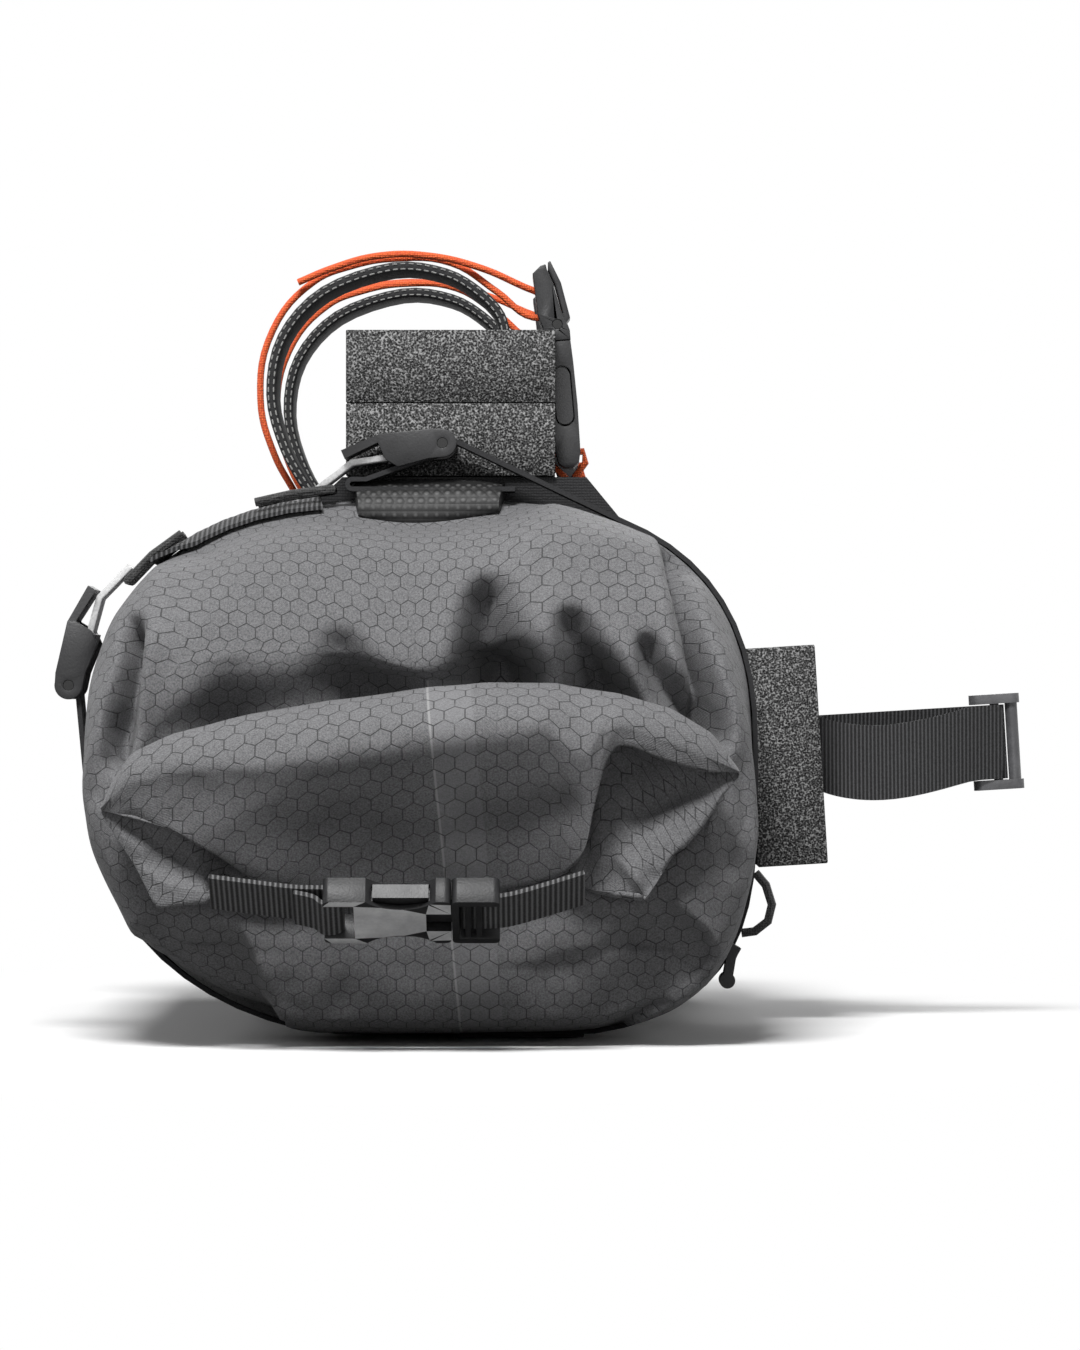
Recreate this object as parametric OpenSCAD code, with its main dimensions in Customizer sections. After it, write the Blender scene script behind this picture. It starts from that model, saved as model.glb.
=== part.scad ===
// Roll-top luggage bag that hangs under a bicycle's handlebar.
// X points back to the bike, Y runs along the bag and Z points up.
// The origin is the middle of the base, on the surface that the bag stands on.

/* [Bag body] */
// Width of the bag from front to back
bag_w = 212; // [196:1:228]
// Height of the bag
bag_h = 170; // [156:1:184]
// Length over which the bag keeps its full section
body_len = 240; // [240:2:300]
// Length of each gathered end beyond the full section
end_len = 49; // [40:1:60]
// Thickness of the bag's fabric
skin = 1.2; // [0.8:0.1:1.6]
// Gap between a soft piece and what it lies on
lay_gap = 0.3; // [0.2:0.05:0.4]

/* [Rolled closure] */
// Width of the roll from tip to tip
roll_w = 195; // [180:1:206]
// Height of the roll at its middle
roll_h = 62; // [50:1:70]
// Depth of the roll at its middle
roll_d = 30; // [24:1:36]
// Height of the roll's middle above the base
roll_z = 82.5; // [76:0.5:90]
// Width of the batten strip in the roll
batten_w = 22; // [16:1:28]
// Length of the batten strip
batten_len = 104; // [90:2:110]
// Thickness of the batten strip
batten_t = 1.2; // [0.8:0.1:2]

/* [Base and back] */
// Thickness of the skid patch under the bag
patch_t = 2.5; // [2.5:0.1:4]
// Length of the skid patch and of the back panel
patch_len = 180; // [120:5:184]
// Thickness of the back panel
panel_t = 1.2; // [0.8:0.1:1.6]
// Thickness of the stiffener inside the bag
stiffener_t = 0.8; // [0.5:0.1:1.5]
// Length of the stiffener
stiffener_len = 220; // [160:5:230]

/* [Compression straps] */
// Distance of each compression strap from the bag's middle
strap_y = 104; // [104:1:106]
// Width of the compression webbing
strap_w = 20; // [18:0.5:20]
// Thickness of the compression webbing
strap_t = 1.5; // [1.2:0.1:1.6]
// Thickness of the keeper sewn under the strap
keeper_t = 0.9; // [0.6:0.1:1]
// Height of the flat sleeve that holds the strap's loose end
sleeve_h = 4.2; // [4:0.1:5]
// Wall of the sleeve
sleeve_wall = 1; // [0.7:0.1:1.1]

/* [Tensioners] */
// Radius of the tensioner's pin
pin_r = 1.6; // [1.4:0.05:1.7]
// Running clearance of the pins in their bores
pin_play = 0.05; // [0.03:0.01:0.08]
// Outside width of the tensioner lever
lever_w = 25.6; // [25.4:0.1:27]
// Thickness of each cheek of the lever
cheek_t = 2.5; // [2:0.1:2.5]
// Width of the aluminium hook plate
hook_w = 16; // [12:0.5:16.5]
// Thickness of the hook plate
hook_t = 2.2; // [1.8:0.1:2.3]
// Radius of the elastic cord that the hook catches
loop_r = 1.4; // [1.1:0.05:1.5]
// Height of the cord's bight over the bag's skin
hook_lift = 3.4; // [3.3:0.1:4]

/* [Handlebar mounts] */
// Distance of each handlebar mount from the bag's middle
mount_y = 68; // [68:1:70]
// Height of one foam spacer pad
pad_h = 23.5; // [18:0.5:24]
// Depth of the foam pads along the bike
pad_d = 67.7; // [64:0.1:70]
// Width of the foam pads
pad_w = 44; // [40:1:44]
// Width of the padded handlebar strap
bar_strap_w = 36; // [30:1:36]
// Thickness of the padded handlebar strap
bar_strap_t = 3.2; // [2.6:0.1:3.4]
// Height of the mount's platform over the bag's top
platform_rise = 7; // [6.8:0.1:7.4]
// Radius of the orange cords
cord_r = 1.15; // [1:0.05:1.25]

/* [Handlebar buckles] */
// Width of the handlebar buckle
bar_buckle_w = 25; // [25:0.5:26]
// Lean of the handlebar buckle towards the strap, in degrees
bar_lean = 5; // [4:0.5:6]

/* [Closure buckles] */
// Width of the closure buckle
buckle_w = 27; // [27:0.5:29]
// Thickness of the closure buckle
buckle_t = 8.5; // [8.5:0.1:9.5]
// Width of the closure webbing
web_w = 20; // [17:0.5:20]
// Thickness of the closure webbing
web_t = 1.4; // [1.1:0.1:1.5]

/* [Head tube strap] */
// Depth of the foam spacer behind the bag
spacer_d = 23.4; // [18:0.2:28]
// Height of the foam spacer
spacer_h = 73; // [60:1:80]
// Width of the foam spacer
spacer_w = 60; // [50:1:70]
// Width of the head tube webbing
head_w = 25; // [20:0.5:27]
// Thickness of the head tube webbing
head_t = 1.5; // [1.2:0.1:1.6]
// Reach of the head tube strap from the spacer's front face
head_reach = 84; // [70:1:100]

/* [Hidden] */
$fn = 32;

// The section is a superellipse with its own roundness in each quarter.
STEP = 6;
TOP_BACK = 2.7;
TOP_FRONT = 2.65;
LOW_FRONT = 2.3;
LOW_BACK = 3.6;
BELLY = 2.5;
bag_z = patch_t + lay_gap;
bag_mid = bag_z + bag_h / 2;
end_y = body_len / 2 + end_len;
END_KX = 0.86;
END_KZ = 0.3;
END_RISE = 2.5;
end_mid = roll_z + END_RISE;

function quarter(t) = t < 90 ? TOP_BACK : t < 180 ? TOP_FRONT : t < 270 ? LOW_FRONT : LOW_BACK;
function wrap(t) = t - 360 * floor(t / 360);
function power(v, n) = sign(v) * pow(abs(v), 2 / n);
function section(t) = let (a = wrap(t), n = quarter(a), s = power(sin(a), n))
    [bag_w / 2 * power(cos(a), n),
     bag_mid + (s >= 0 ? bag_h / 2 * s : max(-bag_h / 2, (bag_h / 2 + BELLY) * s))];
function unit(v) = v / norm(v);
function normal(t) = let (d = unit(section(t + 1) - section(t - 1))) [d[1], -d[0]];
function skin_pt(t, h) = section(t) + h * normal(t);

// Curves and ribbons in a plane.
function blend4(a, b, c, d, t) = 0.5 * (2 * b + (c - a) * t + (2 * a - 5 * b + 4 * c - d) * t * t
    + (3 * b - a - 3 * c + d) * t * t * t);
function smooth(p, n) = let (m = len(p)) concat(
    [for (i = [0:m - 2]) for (k = [0:n - 1])
        blend4(p[max(i - 1, 0)], p[i], p[i + 1], p[min(i + 2, m - 1)], k / n)],
    [p[m - 1]]);
function left_n(p, i) = let (d = unit(p[min(i + 1, len(p) - 1)] - p[max(i - 1, 0)])) [-d[1], d[0]];
function ribbon(p, low, high) = concat(
    [for (i = [0:len(p) - 1]) p[i] + low * left_n(p, i)],
    [for (i = [len(p) - 1:-1:0]) p[i] + high * left_n(p, i)]);

// Solids between rings of points, and an outline in X and Z drawn out along Y.
module loft(rings) {
    n = len(rings[0]);
    m = len(rings);
    polyhedron(points = [for (r = rings) each r], faces = concat(
        [[for (i = [n - 1:-1:0]) i]],
        [[for (i = [0:n - 1]) (m - 1) * n + i]],
        [for (k = [0:m - 2]) for (i = [0:n - 1]) let (j = (i + 1) % n)
            [k * n + i, (k + 1) * n + j, (k + 1) * n + i]],
        [for (k = [0:m - 2]) for (i = [0:n - 1]) let (j = (i + 1) % n)
            [k * n + i, k * n + j, (k + 1) * n + j]]));
}
module along_y(low, high) translate([0, high, 0]) rotate([90, 0, 0]) linear_extrude(high - low) children();
module centred_y(w) along_y(-w / 2, w / 2) children();
module far_side() mirror([0, 1, 0]) children();
module pair() {
    children();
    far_side() children();
}
// A cord: chosen points swept as a tube of eight sides, by a side direction that no run follows.
module tube(p, r, side) {
    m = len(p);
    loft([for (i = [0:m - 1]) let (d = unit(p[min(i + 1, m - 1)] - p[max(i - 1, 0)]),
        a = unit(cross(d, side)), b = cross(a, d))
        [for (t = [0:45:359]) p[i] + r * (cos(t) * a + sin(t) * b)]]);
}
module round_rect(w, h, r) {
    square([w - 2 * r, h], center = true);
    square([w, h - 2 * r], center = true);
    for (x = [-1, 1]) for (y = [-1, 1]) translate([x * (w / 2 - r), y * (h / 2 - r)]) circle(r = r);
}
module skin_strip(t0, t1, low, high) {
    t = [for (a = [t0:STEP:t1]) a];
    polygon(concat([for (a = t) skin_pt(a, high)],
        [for (i = [len(t) - 1:-1:0]) skin_pt(t[i], low)]));
}

// ---- Bag body ----
END_ANGLES = [90, 76, 60, 44, 28, 12, 0];
function bag_ring(side, a, inset) = let (f = cos(a), kx = END_KX + (1 - END_KX) * f,
    kz = END_KZ + (1 - END_KZ) * f, mid = end_mid + (bag_mid - end_mid) * f,
    y = side * (body_len / 2 + (end_len - inset) * sin(a)))
    [for (t = [0:STEP:359]) let (p = skin_pt(t, -inset)) [kx * p[0], y, mid + kz * (p[1] - bag_mid)]];
function bag_rings(inset) = concat([for (a = END_ANGLES) bag_ring(-1, a, inset)],
    [for (i = [len(END_ANGLES) - 1:-1:0]) bag_ring(1, END_ANGLES[i], inset)]);
module bag_shell() color([0.36, 0.36, 0.38]) difference() {
    loft(bag_rings(0));
    loft(bag_rings(skin));
}

// Roll: share of half the width, of half the height above and below, and of half the depth.
ROLL = [[-1, -0.18, -0.26, 0.15], [-0.9, 0.29, -0.39, 0.4], [-0.68, 0.58, -0.66, 0.75],
    [-0.37, 0.82, -0.9, 0.95], [0, 0.97, -1, 1], [0.36, 1, -0.94, 1],
    [0.64, 0.92, -0.58, 0.8], [0.83, 0.71, -0.19, 0.5], [1, 0.19, 0.11, 0.15]];
roll_y = end_y + lay_gap + roll_d / 2;
BATTEN_RISE = 1.5;
BATTEN_PLAY = 1;
function roll_ring(r) = let (mid = (r[1] + r[2]) / 2, half = (r[1] - r[2]) / 2)
    [for (t = [0:22.5:359]) [r[0] * roll_w / 2, -roll_y + r[3] * roll_d / 2 * sin(t),
        roll_z + roll_h / 2 * (mid + half * cos(t))]];
// Corners folded under: shares of half the roll's width, and of half its height from its middle.
FOLD_FRONT = [[-0.985, -0.21], [-0.872, -1.161], [-0.79, -1.274], [-0.656, -1.21], [-0.667, -0.661],
    [-0.769, -0.403]];
FOLD_BACK = [[0.985, 0.113], [0.862, -0.823], [0.749, -1.097], [0.718, -1.242], [0.574, -1.194],
    [0.533, -1.065], [0.569, -0.661], [0.718, -0.242]];
FOLD_OUT = 0.78;
FOLD_IN = 0.553;
fold_face = roll_y + FOLD_OUT * roll_d / 2;
module fold(outline) along_y(-fold_face, -roll_y + FOLD_IN * roll_d / 2)
    polygon([for (p = outline) [p[0] * roll_w / 2, roll_z + p[1] * roll_h / 2]]);
module roll_solid() color([0.32, 0.32, 0.34]) difference() {
    union() {
        loft([for (r = ROLL) roll_ring(r)]);
        fold(FOLD_FRONT);
        fold(FOLD_BACK);
    }
    translate([0, -roll_y, roll_z + BATTEN_RISE])
        cube([batten_len + 2 * BATTEN_PLAY, batten_t + 2 * lay_gap, batten_w + 2 * lay_gap], center = true);
}
module left_roll() roll_solid();
module right_roll() far_side() roll_solid();
module roll_battens() color([0.1, 0.1, 0.1]) pair() translate([0, -roll_y, roll_z + BATTEN_RISE])
    cube([batten_len, batten_t, batten_w], center = true);

STIFFENER_T = [-30, 114];
PANEL_T = [-48, 54];
module stiffener_sheet() color([0.15, 0.15, 0.16]) centred_y(stiffener_len)
    skin_strip(STIFFENER_T[0], STIFFENER_T[1], -skin - lay_gap - stiffener_t, -skin - lay_gap);
module back_panel() color([0.07, 0.07, 0.07]) centred_y(patch_len)
    skin_strip(PANEL_T[0], PANEL_T[1], lay_gap, lay_gap + panel_t);
PATCH_X0 = -30;
PATCH_X1 = 54;
module base_patch() color([0.06, 0.06, 0.06])
    translate([PATCH_X0, -patch_len / 2, 0]) cube([PATCH_X1 - PATCH_X0, patch_len, patch_t]);

// ---- Tensioners ----
// A lever lies in its own frame: its pin at the origin, its tab along +X and outward along +Z.
TOP_T = 100;
FRONT_T = 145;
TOP_TURN = 6.14;
FRONT_TURN = 77;
BIGHT = [36.75, -10.7];
EYE_PLAY = 0.15;
EYE_R = pin_r + EYE_PLAY;
eye_out = EYE_R + strap_t;
function turn(p, a) = [p[0] * cos(a) - p[1] * sin(a), p[0] * sin(a) + p[1] * cos(a)];
function top_point(p) = turn([-p[0], p[1]], TOP_TURN);
top_pin = skin_pt(TOP_T, hook_lift) - top_point(BIGHT);
front_pin = skin_pt(FRONT_T, hook_lift) - turn(BIGHT, FRONT_TURN);

module at_top() translate([top_pin[0], -strap_y, top_pin[1]]) rotate([0, -TOP_TURN, 0])
    mirror([1, 0, 0]) children();
module at_front() translate([front_pin[0], -strap_y, front_pin[1]]) rotate([0, -FRONT_TURN, 0])
    children();

HEEL_R = 4.5;
PLATE_IN = 3.7;
PLATE_OUT = 5;
TAB = [[20, PLATE_OUT], [32.5, 1.2], [31.6, -1.6], [20.5, 2.4]];
CHEEK = [[0, HEEL_R], [3, PLATE_OUT], TAB[0], TAB[3], [18.6, -3.2], [15, -6], [5, -4.4], [0, -HEEL_R]];
WEB_PLATE = [[0.5, PLATE_IN], [0.5, PLATE_OUT - 0.4], [3, PLATE_OUT], TAB[0], [19, PLATE_IN - 0.3]];
TAB_ROOT = [18.8, PLATE_IN - 0.3];
TAB_INSET = 1.5;
POST = [[13, PLATE_IN], [13, -4.9], [17.8, -4.9], [18.3, PLATE_IN]];
HOOK = [[14.5, -2.4], [29.5, -3], [41.5, -10.3]];
HOOK_PLAY = 0.2;
module lever_solid() color([0.09, 0.09, 0.09]) {
    gap = lever_w - 2 * cheek_t;
    for (s = [-1, 1]) difference() {
        translate([0, s * (lever_w - cheek_t) / 2, 0]) centred_y(cheek_t) {
            polygon(CHEEK);
            circle(r = HEEL_R);
        }
        rotate([90, 0, 0]) cylinder(h = 2 * lever_w, r = pin_r + pin_play, center = true);
    }
    centred_y(gap) polygon(WEB_PLATE);
    centred_y(lever_w - 2 * TAB_INSET) polygon(concat(TAB, [TAB_ROOT]));
    difference() {
        centred_y(gap) polygon(POST);
        translate([HOOK[0][0] - HOOK_PLAY, -hook_w / 2 - HOOK_PLAY, HOOK[0][1] - hook_t / 2 - HOOK_PLAY])
            cube([POST[3][0], hook_w + 2 * HOOK_PLAY, hook_t + 2 * HOOK_PLAY]);
    }
}
module hook_solid() color([0.8, 0.81, 0.82]) centred_y(hook_w)
    polygon(ribbon(HOOK, -hook_t / 2, hook_t / 2));
module left_top_tensioner() at_top() lever_solid();
module left_front_tensioner() at_front() lever_solid();
module right_top_tensioner() far_side() at_top() lever_solid();
module right_front_tensioner() far_side() at_front() lever_solid();
module left_top_hook() at_top() hook_solid();
module left_front_hook() at_front() hook_solid();
module right_top_hook() far_side() at_top() hook_solid();
module right_front_hook() far_side() at_front() hook_solid();
module tensioner_pins() color([0.6, 0.6, 0.62]) pair() for (p = [top_pin, front_pin])
    translate([p[0], -strap_y, p[1]]) rotate([90, 0, 0]) cylinder(h = lever_w, r = pin_r, center = true);

// The strap runs from the front pin under the bag and up the back to the top pin,
// and its loose end turns under the lever and back through the sleeve.
eye_mid = (EYE_R + eye_out) / 2;
STRAP_T0 = 186;
STRAP_T1 = 420;
SLEEVE_X0 = -21.7;
SLEEVE_X1 = 26.7;
sleeve_z = bag_z + bag_h + lay_gap;
tail_z = sleeve_z + sleeve_h / 2;
over_z = sleeve_z + sleeve_h + lay_gap + strap_t / 2;
turn_r = (over_z - tail_z) / 2;
TOP_ENTRY = [0.38, 0.92];
TAIL_ENTRY = [0.32, -0.95];
TAIL_OUT = 3.3;
TAIL_RISE = 4;
strap_run = concat([front_pin + [eye_mid, 0]],
    [for (t = [STRAP_T0:STEP:STRAP_T1]) skin_pt(t, lay_gap + strap_t / 2)],
    [top_pin + eye_mid * TOP_ENTRY]);
strap_tail = concat([[SLEEVE_X1 + TAIL_OUT, tail_z]],
    [for (a = [-90:-22.5:-270]) [SLEEVE_X0 - lay_gap, (over_z + tail_z) / 2] + turn_r * [cos(a), sin(a)]],
    [[SLEEVE_X0 + TAIL_RISE, over_z], top_pin + eye_mid * TAIL_ENTRY]);
module strap_solid() color([0.05, 0.05, 0.05]) translate([0, -strap_y, 0]) difference() {
    centred_y(strap_w) {
        polygon(ribbon(strap_run, -strap_t / 2, strap_t / 2));
        polygon(ribbon(strap_tail, -strap_t / 2, strap_t / 2));
        for (p = [top_pin, front_pin]) translate(p) circle(r = eye_out);
    }
    for (p = [top_pin, front_pin]) translate([p[0], 0, p[1]]) rotate([90, 0, 0])
        cylinder(h = 2 * strap_w, r = EYE_R, center = true);
}
module left_compression_strap() strap_solid();
module right_compression_strap() far_side() strap_solid();
KEEPER_X0 = 12;
KEEPER_LEN = 40;
KEEPER_SIDE = 1;
SLEEVE_SIDE = 3.5;
SLEEVE_ROUND = 0.1;
module strap_keepers() color([0.04, 0.04, 0.04]) pair()
    translate([KEEPER_X0, -strap_y - strap_w / 2 - KEEPER_SIDE, 0])
    cube([KEEPER_LEN, strap_w + 2 * KEEPER_SIDE, keeper_t]);
sleeve_in = strap_w + 2 * SLEEVE_SIDE;
sleeve_r = sleeve_h / 2 - SLEEVE_ROUND;
module strap_sleeves() color([0.12, 0.12, 0.12]) pair()
    translate([SLEEVE_X0, -strap_y, tail_z]) rotate([90, 0, 90])
    linear_extrude(SLEEVE_X1 - SLEEVE_X0) difference() {
        round_rect(sleeve_in + 2 * sleeve_wall, sleeve_h, sleeve_r);
        round_rect(sleeve_in, sleeve_h - 2 * sleeve_wall, sleeve_r - sleeve_wall);
    }

// Grey webbing over the front shoulder, and the elastic loops that it holds.
WEB_T0 = 102;
WEB_T1 = 138;
WEBBING_T = 1.2;
TOP_ROOT_T = 113;
FRONT_ROOT_T = 129;
LEG_Y = 10;
ROOT_IN = 1;
WEBBING_IN = 0.3;
module hook_webbings() color([0.3, 0.3, 0.31]) pair() translate([0, -strap_y, 0])
    centred_y(lever_w - 2 * WEBBING_IN) skin_strip(WEB_T0, WEB_T1, lay_gap, lay_gap + WEBBING_T);
function normal3(t) = [normal(t)[0], 0, normal(t)[1]];
function lift_pt(t, y) = let (p = skin_pt(t, hook_lift)) [p[0], y, p[1]];
module one_loop(bight, root) tube([lift_pt(root, -LEG_Y + ROOT_IN), lift_pt((bight + root) / 2, -LEG_Y),
    lift_pt(bight, -LEG_Y), lift_pt(bight, LEG_Y), lift_pt((bight + root) / 2, LEG_Y),
    lift_pt(root, LEG_Y - ROOT_IN)], loop_r, normal3(bight));
module hook_loops() color([0.05, 0.05, 0.05]) pair() translate([0, -strap_y, 0]) {
    one_loop(TOP_T, TOP_ROOT_T);
    one_loop(FRONT_T, FRONT_ROOT_T);
}

// ---- Handlebar mounts ----
// Heights on a mount are over its platform.
platform_z = bag_z + bag_h + platform_rise;
PAD_X0 = -24.8;
pad_z0 = lay_gap;
pad_z1 = pad_z0 + pad_h + lay_gap;
SLOT_X = 28.6;
STRAP_CURVE = [[-37.6, -6.4], [-46, 8.2], [-50.8, 26.7], [-47, 46.2], [-33, 61.7], [-10, 69.7],
    [8, 67.7], [20, 60.7], [26.6, 53.2], [SLOT_X, 45.2]];
STRAP_FOOT = 0.1;
strap_path = concat(smooth(STRAP_CURVE, 4), [[SLOT_X, pad_z0 + STRAP_FOOT]]);
BASE_T0 = 60;
BASE_T1 = 108;
BASE_LIP = 1.8;
PLATFORM_X0 = -26;
PLATFORM_X1 = 53;
PLATFORM_T = 5;
base_bottom = [for (t = [BASE_T0:STEP:BASE_T1]) skin_pt(t, lay_gap)];
EYELET_X = 48.2;
EYELET_R = 3.2;
module at_mount() translate([0, -mount_y, 0]) children();
module at_platform() translate([0, -mount_y, platform_z]) children();
module mount_base_solid() color([0.06, 0.06, 0.06]) at_mount() difference() {
    centred_y(pad_w - 4) polygon(concat(base_bottom, [skin_pt(BASE_T1, lay_gap + BASE_LIP),
        skin_pt(BASE_T1 - STEP, lay_gap + BASE_LIP), [PLATFORM_X0, platform_z], [PLATFORM_X1, platform_z],
        skin_pt(BASE_T0, lay_gap + BASE_LIP)]));
    translate([EYELET_X, 0, platform_z - PLATFORM_T]) cylinder(h = 2 * PLATFORM_T, r = EYELET_R);
}
module left_mount_base() mount_base_solid();
module right_mount_base() far_side() mount_base_solid();

// The buckle's frame: origin at its foot, Z along its axis, X through its thickness.
FOOT = [47.6, 3.4];
module at_bar() at_platform() translate([FOOT[0], 0, FOOT[1]]) rotate([0, -bar_lean, 0]) children();
FOAM_CLEAR = 0.6;
BAY_X = -4.9;
CORD_BAY_X = -7.4;
CORD_BAY_W = 5.2;
CORD_BAY_TOP = 13;
BAY_DEEP = 8;
module bay(x, w, top) at_bar() translate([x, -w / 2, -BAY_DEEP]) cube([20, w, top + BAY_DEEP]);
module foam_pad(z) difference() {
    at_platform() translate([PAD_X0, -pad_w / 2, z]) cube([pad_d, pad_w, pad_h]);
    at_platform() translate([SLOT_X - bar_strap_t - FOAM_CLEAR, -bar_strap_w / 2 - FOAM_CLEAR, z - 1])
        cube([bar_strap_t + 2 * FOAM_CLEAR, bar_strap_w + 2 * FOAM_CLEAR, pad_h + 2]);
    bay(BAY_X, bar_buckle_w + 2 * FOAM_CLEAR, 2 * pad_h + 25);
    bay(CORD_BAY_X, CORD_BAY_W, CORD_BAY_TOP);
}
module foam_pads_solid() color([0.33, 0.33, 0.34]) {
    foam_pad(pad_z0);
    foam_pad(pad_z1);
}
module left_foam_pads() foam_pads_solid();
module right_foam_pads() far_side() foam_pads_solid();
module bar_strap_solid() color([0.08, 0.08, 0.08]) at_platform() centred_y(bar_strap_w)
    polygon(ribbon(strap_path, -bar_strap_t, 0));
module left_bar_strap() bar_strap_solid();
module right_bar_strap() far_side() bar_strap_solid();

BAR_SEAM = 41.1;
BAR_MOUTH = 10.4;
WINDOW = [13.4, 33.2];
PRONG_ROOT = BAR_SEAM + 0.05;
SOCKET_SIDE = [[-1.4, 0], [1.4, 0], [3.3, 1.6], [4, 5], [4.4, 20], [4.2, 34], [3.9, BAR_SEAM],
    [-3.9, BAR_SEAM], [-4.2, 34], [-4.4, 20], [-4, 5], [-3.3, 1.6]];
module window_y(half) hull() for (z = [WINDOW[0] + half, WINDOW[1] - half])
    translate([0, 0, z]) rotate([90, 0, 0]) cylinder(h = 40, r = half, center = true);
MOUTH_T = 4.6;
MOUTH_Z = 9.5;
WINDOW_HALF = 3.1;
WINDOW_IN = 5;
ANCHOR_HOLE_W = 4.4;
ANCHOR_HOLE_Z = 3.6;
ANCHOR_HOLE_H = 4;
module bar_socket_solid() color([0.08, 0.08, 0.08]) at_bar() difference() {
    centred_y(bar_buckle_w) polygon(SOCKET_SIDE);
    translate([-MOUTH_T / 2, -BAR_MOUTH, MOUTH_Z]) cube([MOUTH_T, 2 * BAR_MOUTH, BAR_SEAM]);
    difference() {
        window_y(WINDOW_HALF);
        cube([20, 2 * (BAR_MOUTH - WINDOW_IN), 2 * BAR_SEAM], center = true);
    }
    translate([-10, -ANCHOR_HOLE_W / 2, ANCHOR_HOLE_Z]) cube([20, ANCHOR_HOLE_W, ANCHOR_HOLE_H]);
}
module left_bar_socket() bar_socket_solid();
module right_bar_socket() far_side() bar_socket_solid();

PIVOT = [0.1, 46.7];
FORK_IN = 9.3;
FORK = [[-4, 41.4], [4, 41.4], [4, 44.5], [3.5, 46.3], [2.3, 48], [-0.15, 60.1], [-1.75, 64.9],
    [-2, 66.5], [-3.7, 66.1], [-6.5, 63.8], [-6.2, 58.5], [-6.05, 50.5], [-4.7, 46]];
FORK_BACK = [[-4, 41.4], [-3.6, 41.4], [-3.6, 46], [-3.9, 50.5], [-3.9, 60], [-3.2, 63], [-2, 66.5],
    [-3.7, 66.1], [-6.5, 63.8], [-6.2, 58.5], [-6.05, 50.5], [-4.7, 46]];
CORD_HOLE_Z = [50.7, 57.6];
CORD_HOLE_W = 6.8;
CORD_HOLE_H = 3.6;
PLUG_FOOT = 41.4;
STEM = [3.8, 6, 29.6];
STEM_Z = 12;
cam_pin_r = pin_r - 0.1;
module bore_y(p, r) translate([p[0], 0, p[1]]) rotate([90, 0, 0]) cylinder(h = 60, r = r, center = true);
module bar_plug_solid() color([0.09, 0.09, 0.09]) at_bar() {
    difference() {
        for (s = [-1, 1]) translate([0, s * (bar_buckle_w / 2 + FORK_IN) / 2, 0])
            centred_y(bar_buckle_w / 2 - FORK_IN) polygon(FORK);
        bore_y(PIVOT, cam_pin_r + pin_play);
    }
    difference() {
        centred_y(2 * FORK_IN) polygon(FORK_BACK);
        for (z = CORD_HOLE_Z) translate([-10, -CORD_HOLE_W / 2, z - CORD_HOLE_H / 2])
            cube([12, CORD_HOLE_W, CORD_HOLE_H]);
    }
    translate([FORK[0][0], -FORK_IN, PLUG_FOOT]) cube([-2 * FORK[0][0], 2 * FORK_IN, 1.2]);
    translate([-STEM[0] / 2, -STEM[1] / 2, STEM_Z]) cube(STEM);
}
module left_bar_plug() bar_plug_solid();
module right_bar_plug() far_side() bar_plug_solid();
PRONG = [4, 2.5];
PRONG_Y = 7.5;
PRESS_PAD = [5.4, 2.6];
PRESS_Y = 9.9;
PRESS_R = 2.7;
press_z0 = WINDOW[0] + 3.4;
press_z1 = WINDOW[1] - 3.4;
prong_tip = WINDOW[0] + 0.8;
module bar_prong(s) color([0.07, 0.07, 0.07]) at_bar() mirror([0, s > 0 ? 0 : 1, 0]) {
    translate([-PRONG[0] / 2, PRONG_Y, prong_tip]) cube([PRONG[0], PRONG[1], PRONG_ROOT - prong_tip]);
    translate([-PRESS_PAD[0] / 2, PRESS_Y, press_z0])
        cube([PRESS_PAD[0], PRESS_PAD[1], press_z1 - press_z0]);
    for (z = [press_z0, press_z1]) translate([0, PRESS_Y + PRESS_PAD[1], z]) rotate([90, 0, 0])
        cylinder(h = PRESS_PAD[1], r = PRESS_R);
}
module left_bar_prong_outer() bar_prong(-1);
module left_bar_prong_inner() bar_prong(1);
module right_bar_prong_outer() far_side() bar_prong(-1);
module right_bar_prong_inner() far_side() bar_prong(1);
CAM = [[0.6, 49.5], [2.9, 47], [4.5, 48.7], [2.5, 60.3], [-0.4, 67.7], [-1.2, 67.2], [-1.4, 64.9],
    [0.35, 60.1], [2.2, 50.4]];
CAM_BOSS = 3;
CAM_PLAY = 0.3;
PIN_INSET = 0.2;
module cam_solid() color([0.1, 0.1, 0.1]) at_bar() difference() {
    centred_y(2 * (FORK_IN - CAM_PLAY)) {
        polygon(CAM);
        translate(PIVOT) circle(r = CAM_BOSS);
    }
    bore_y(PIVOT, cam_pin_r + pin_play);
}
module left_cam_lever() cam_solid();
module right_cam_lever() far_side() cam_solid();
module cam_pin_solid() color([0.3, 0.3, 0.3]) at_bar() translate([PIVOT[0], 0, PIVOT[1]])
    rotate([90, 0, 0]) cylinder(h = bar_buckle_w - 2 * PIN_INSET, r = cam_pin_r, center = true);
module left_cam_pin() cam_pin_solid();
module right_cam_pin() far_side() cam_pin_solid();

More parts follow.
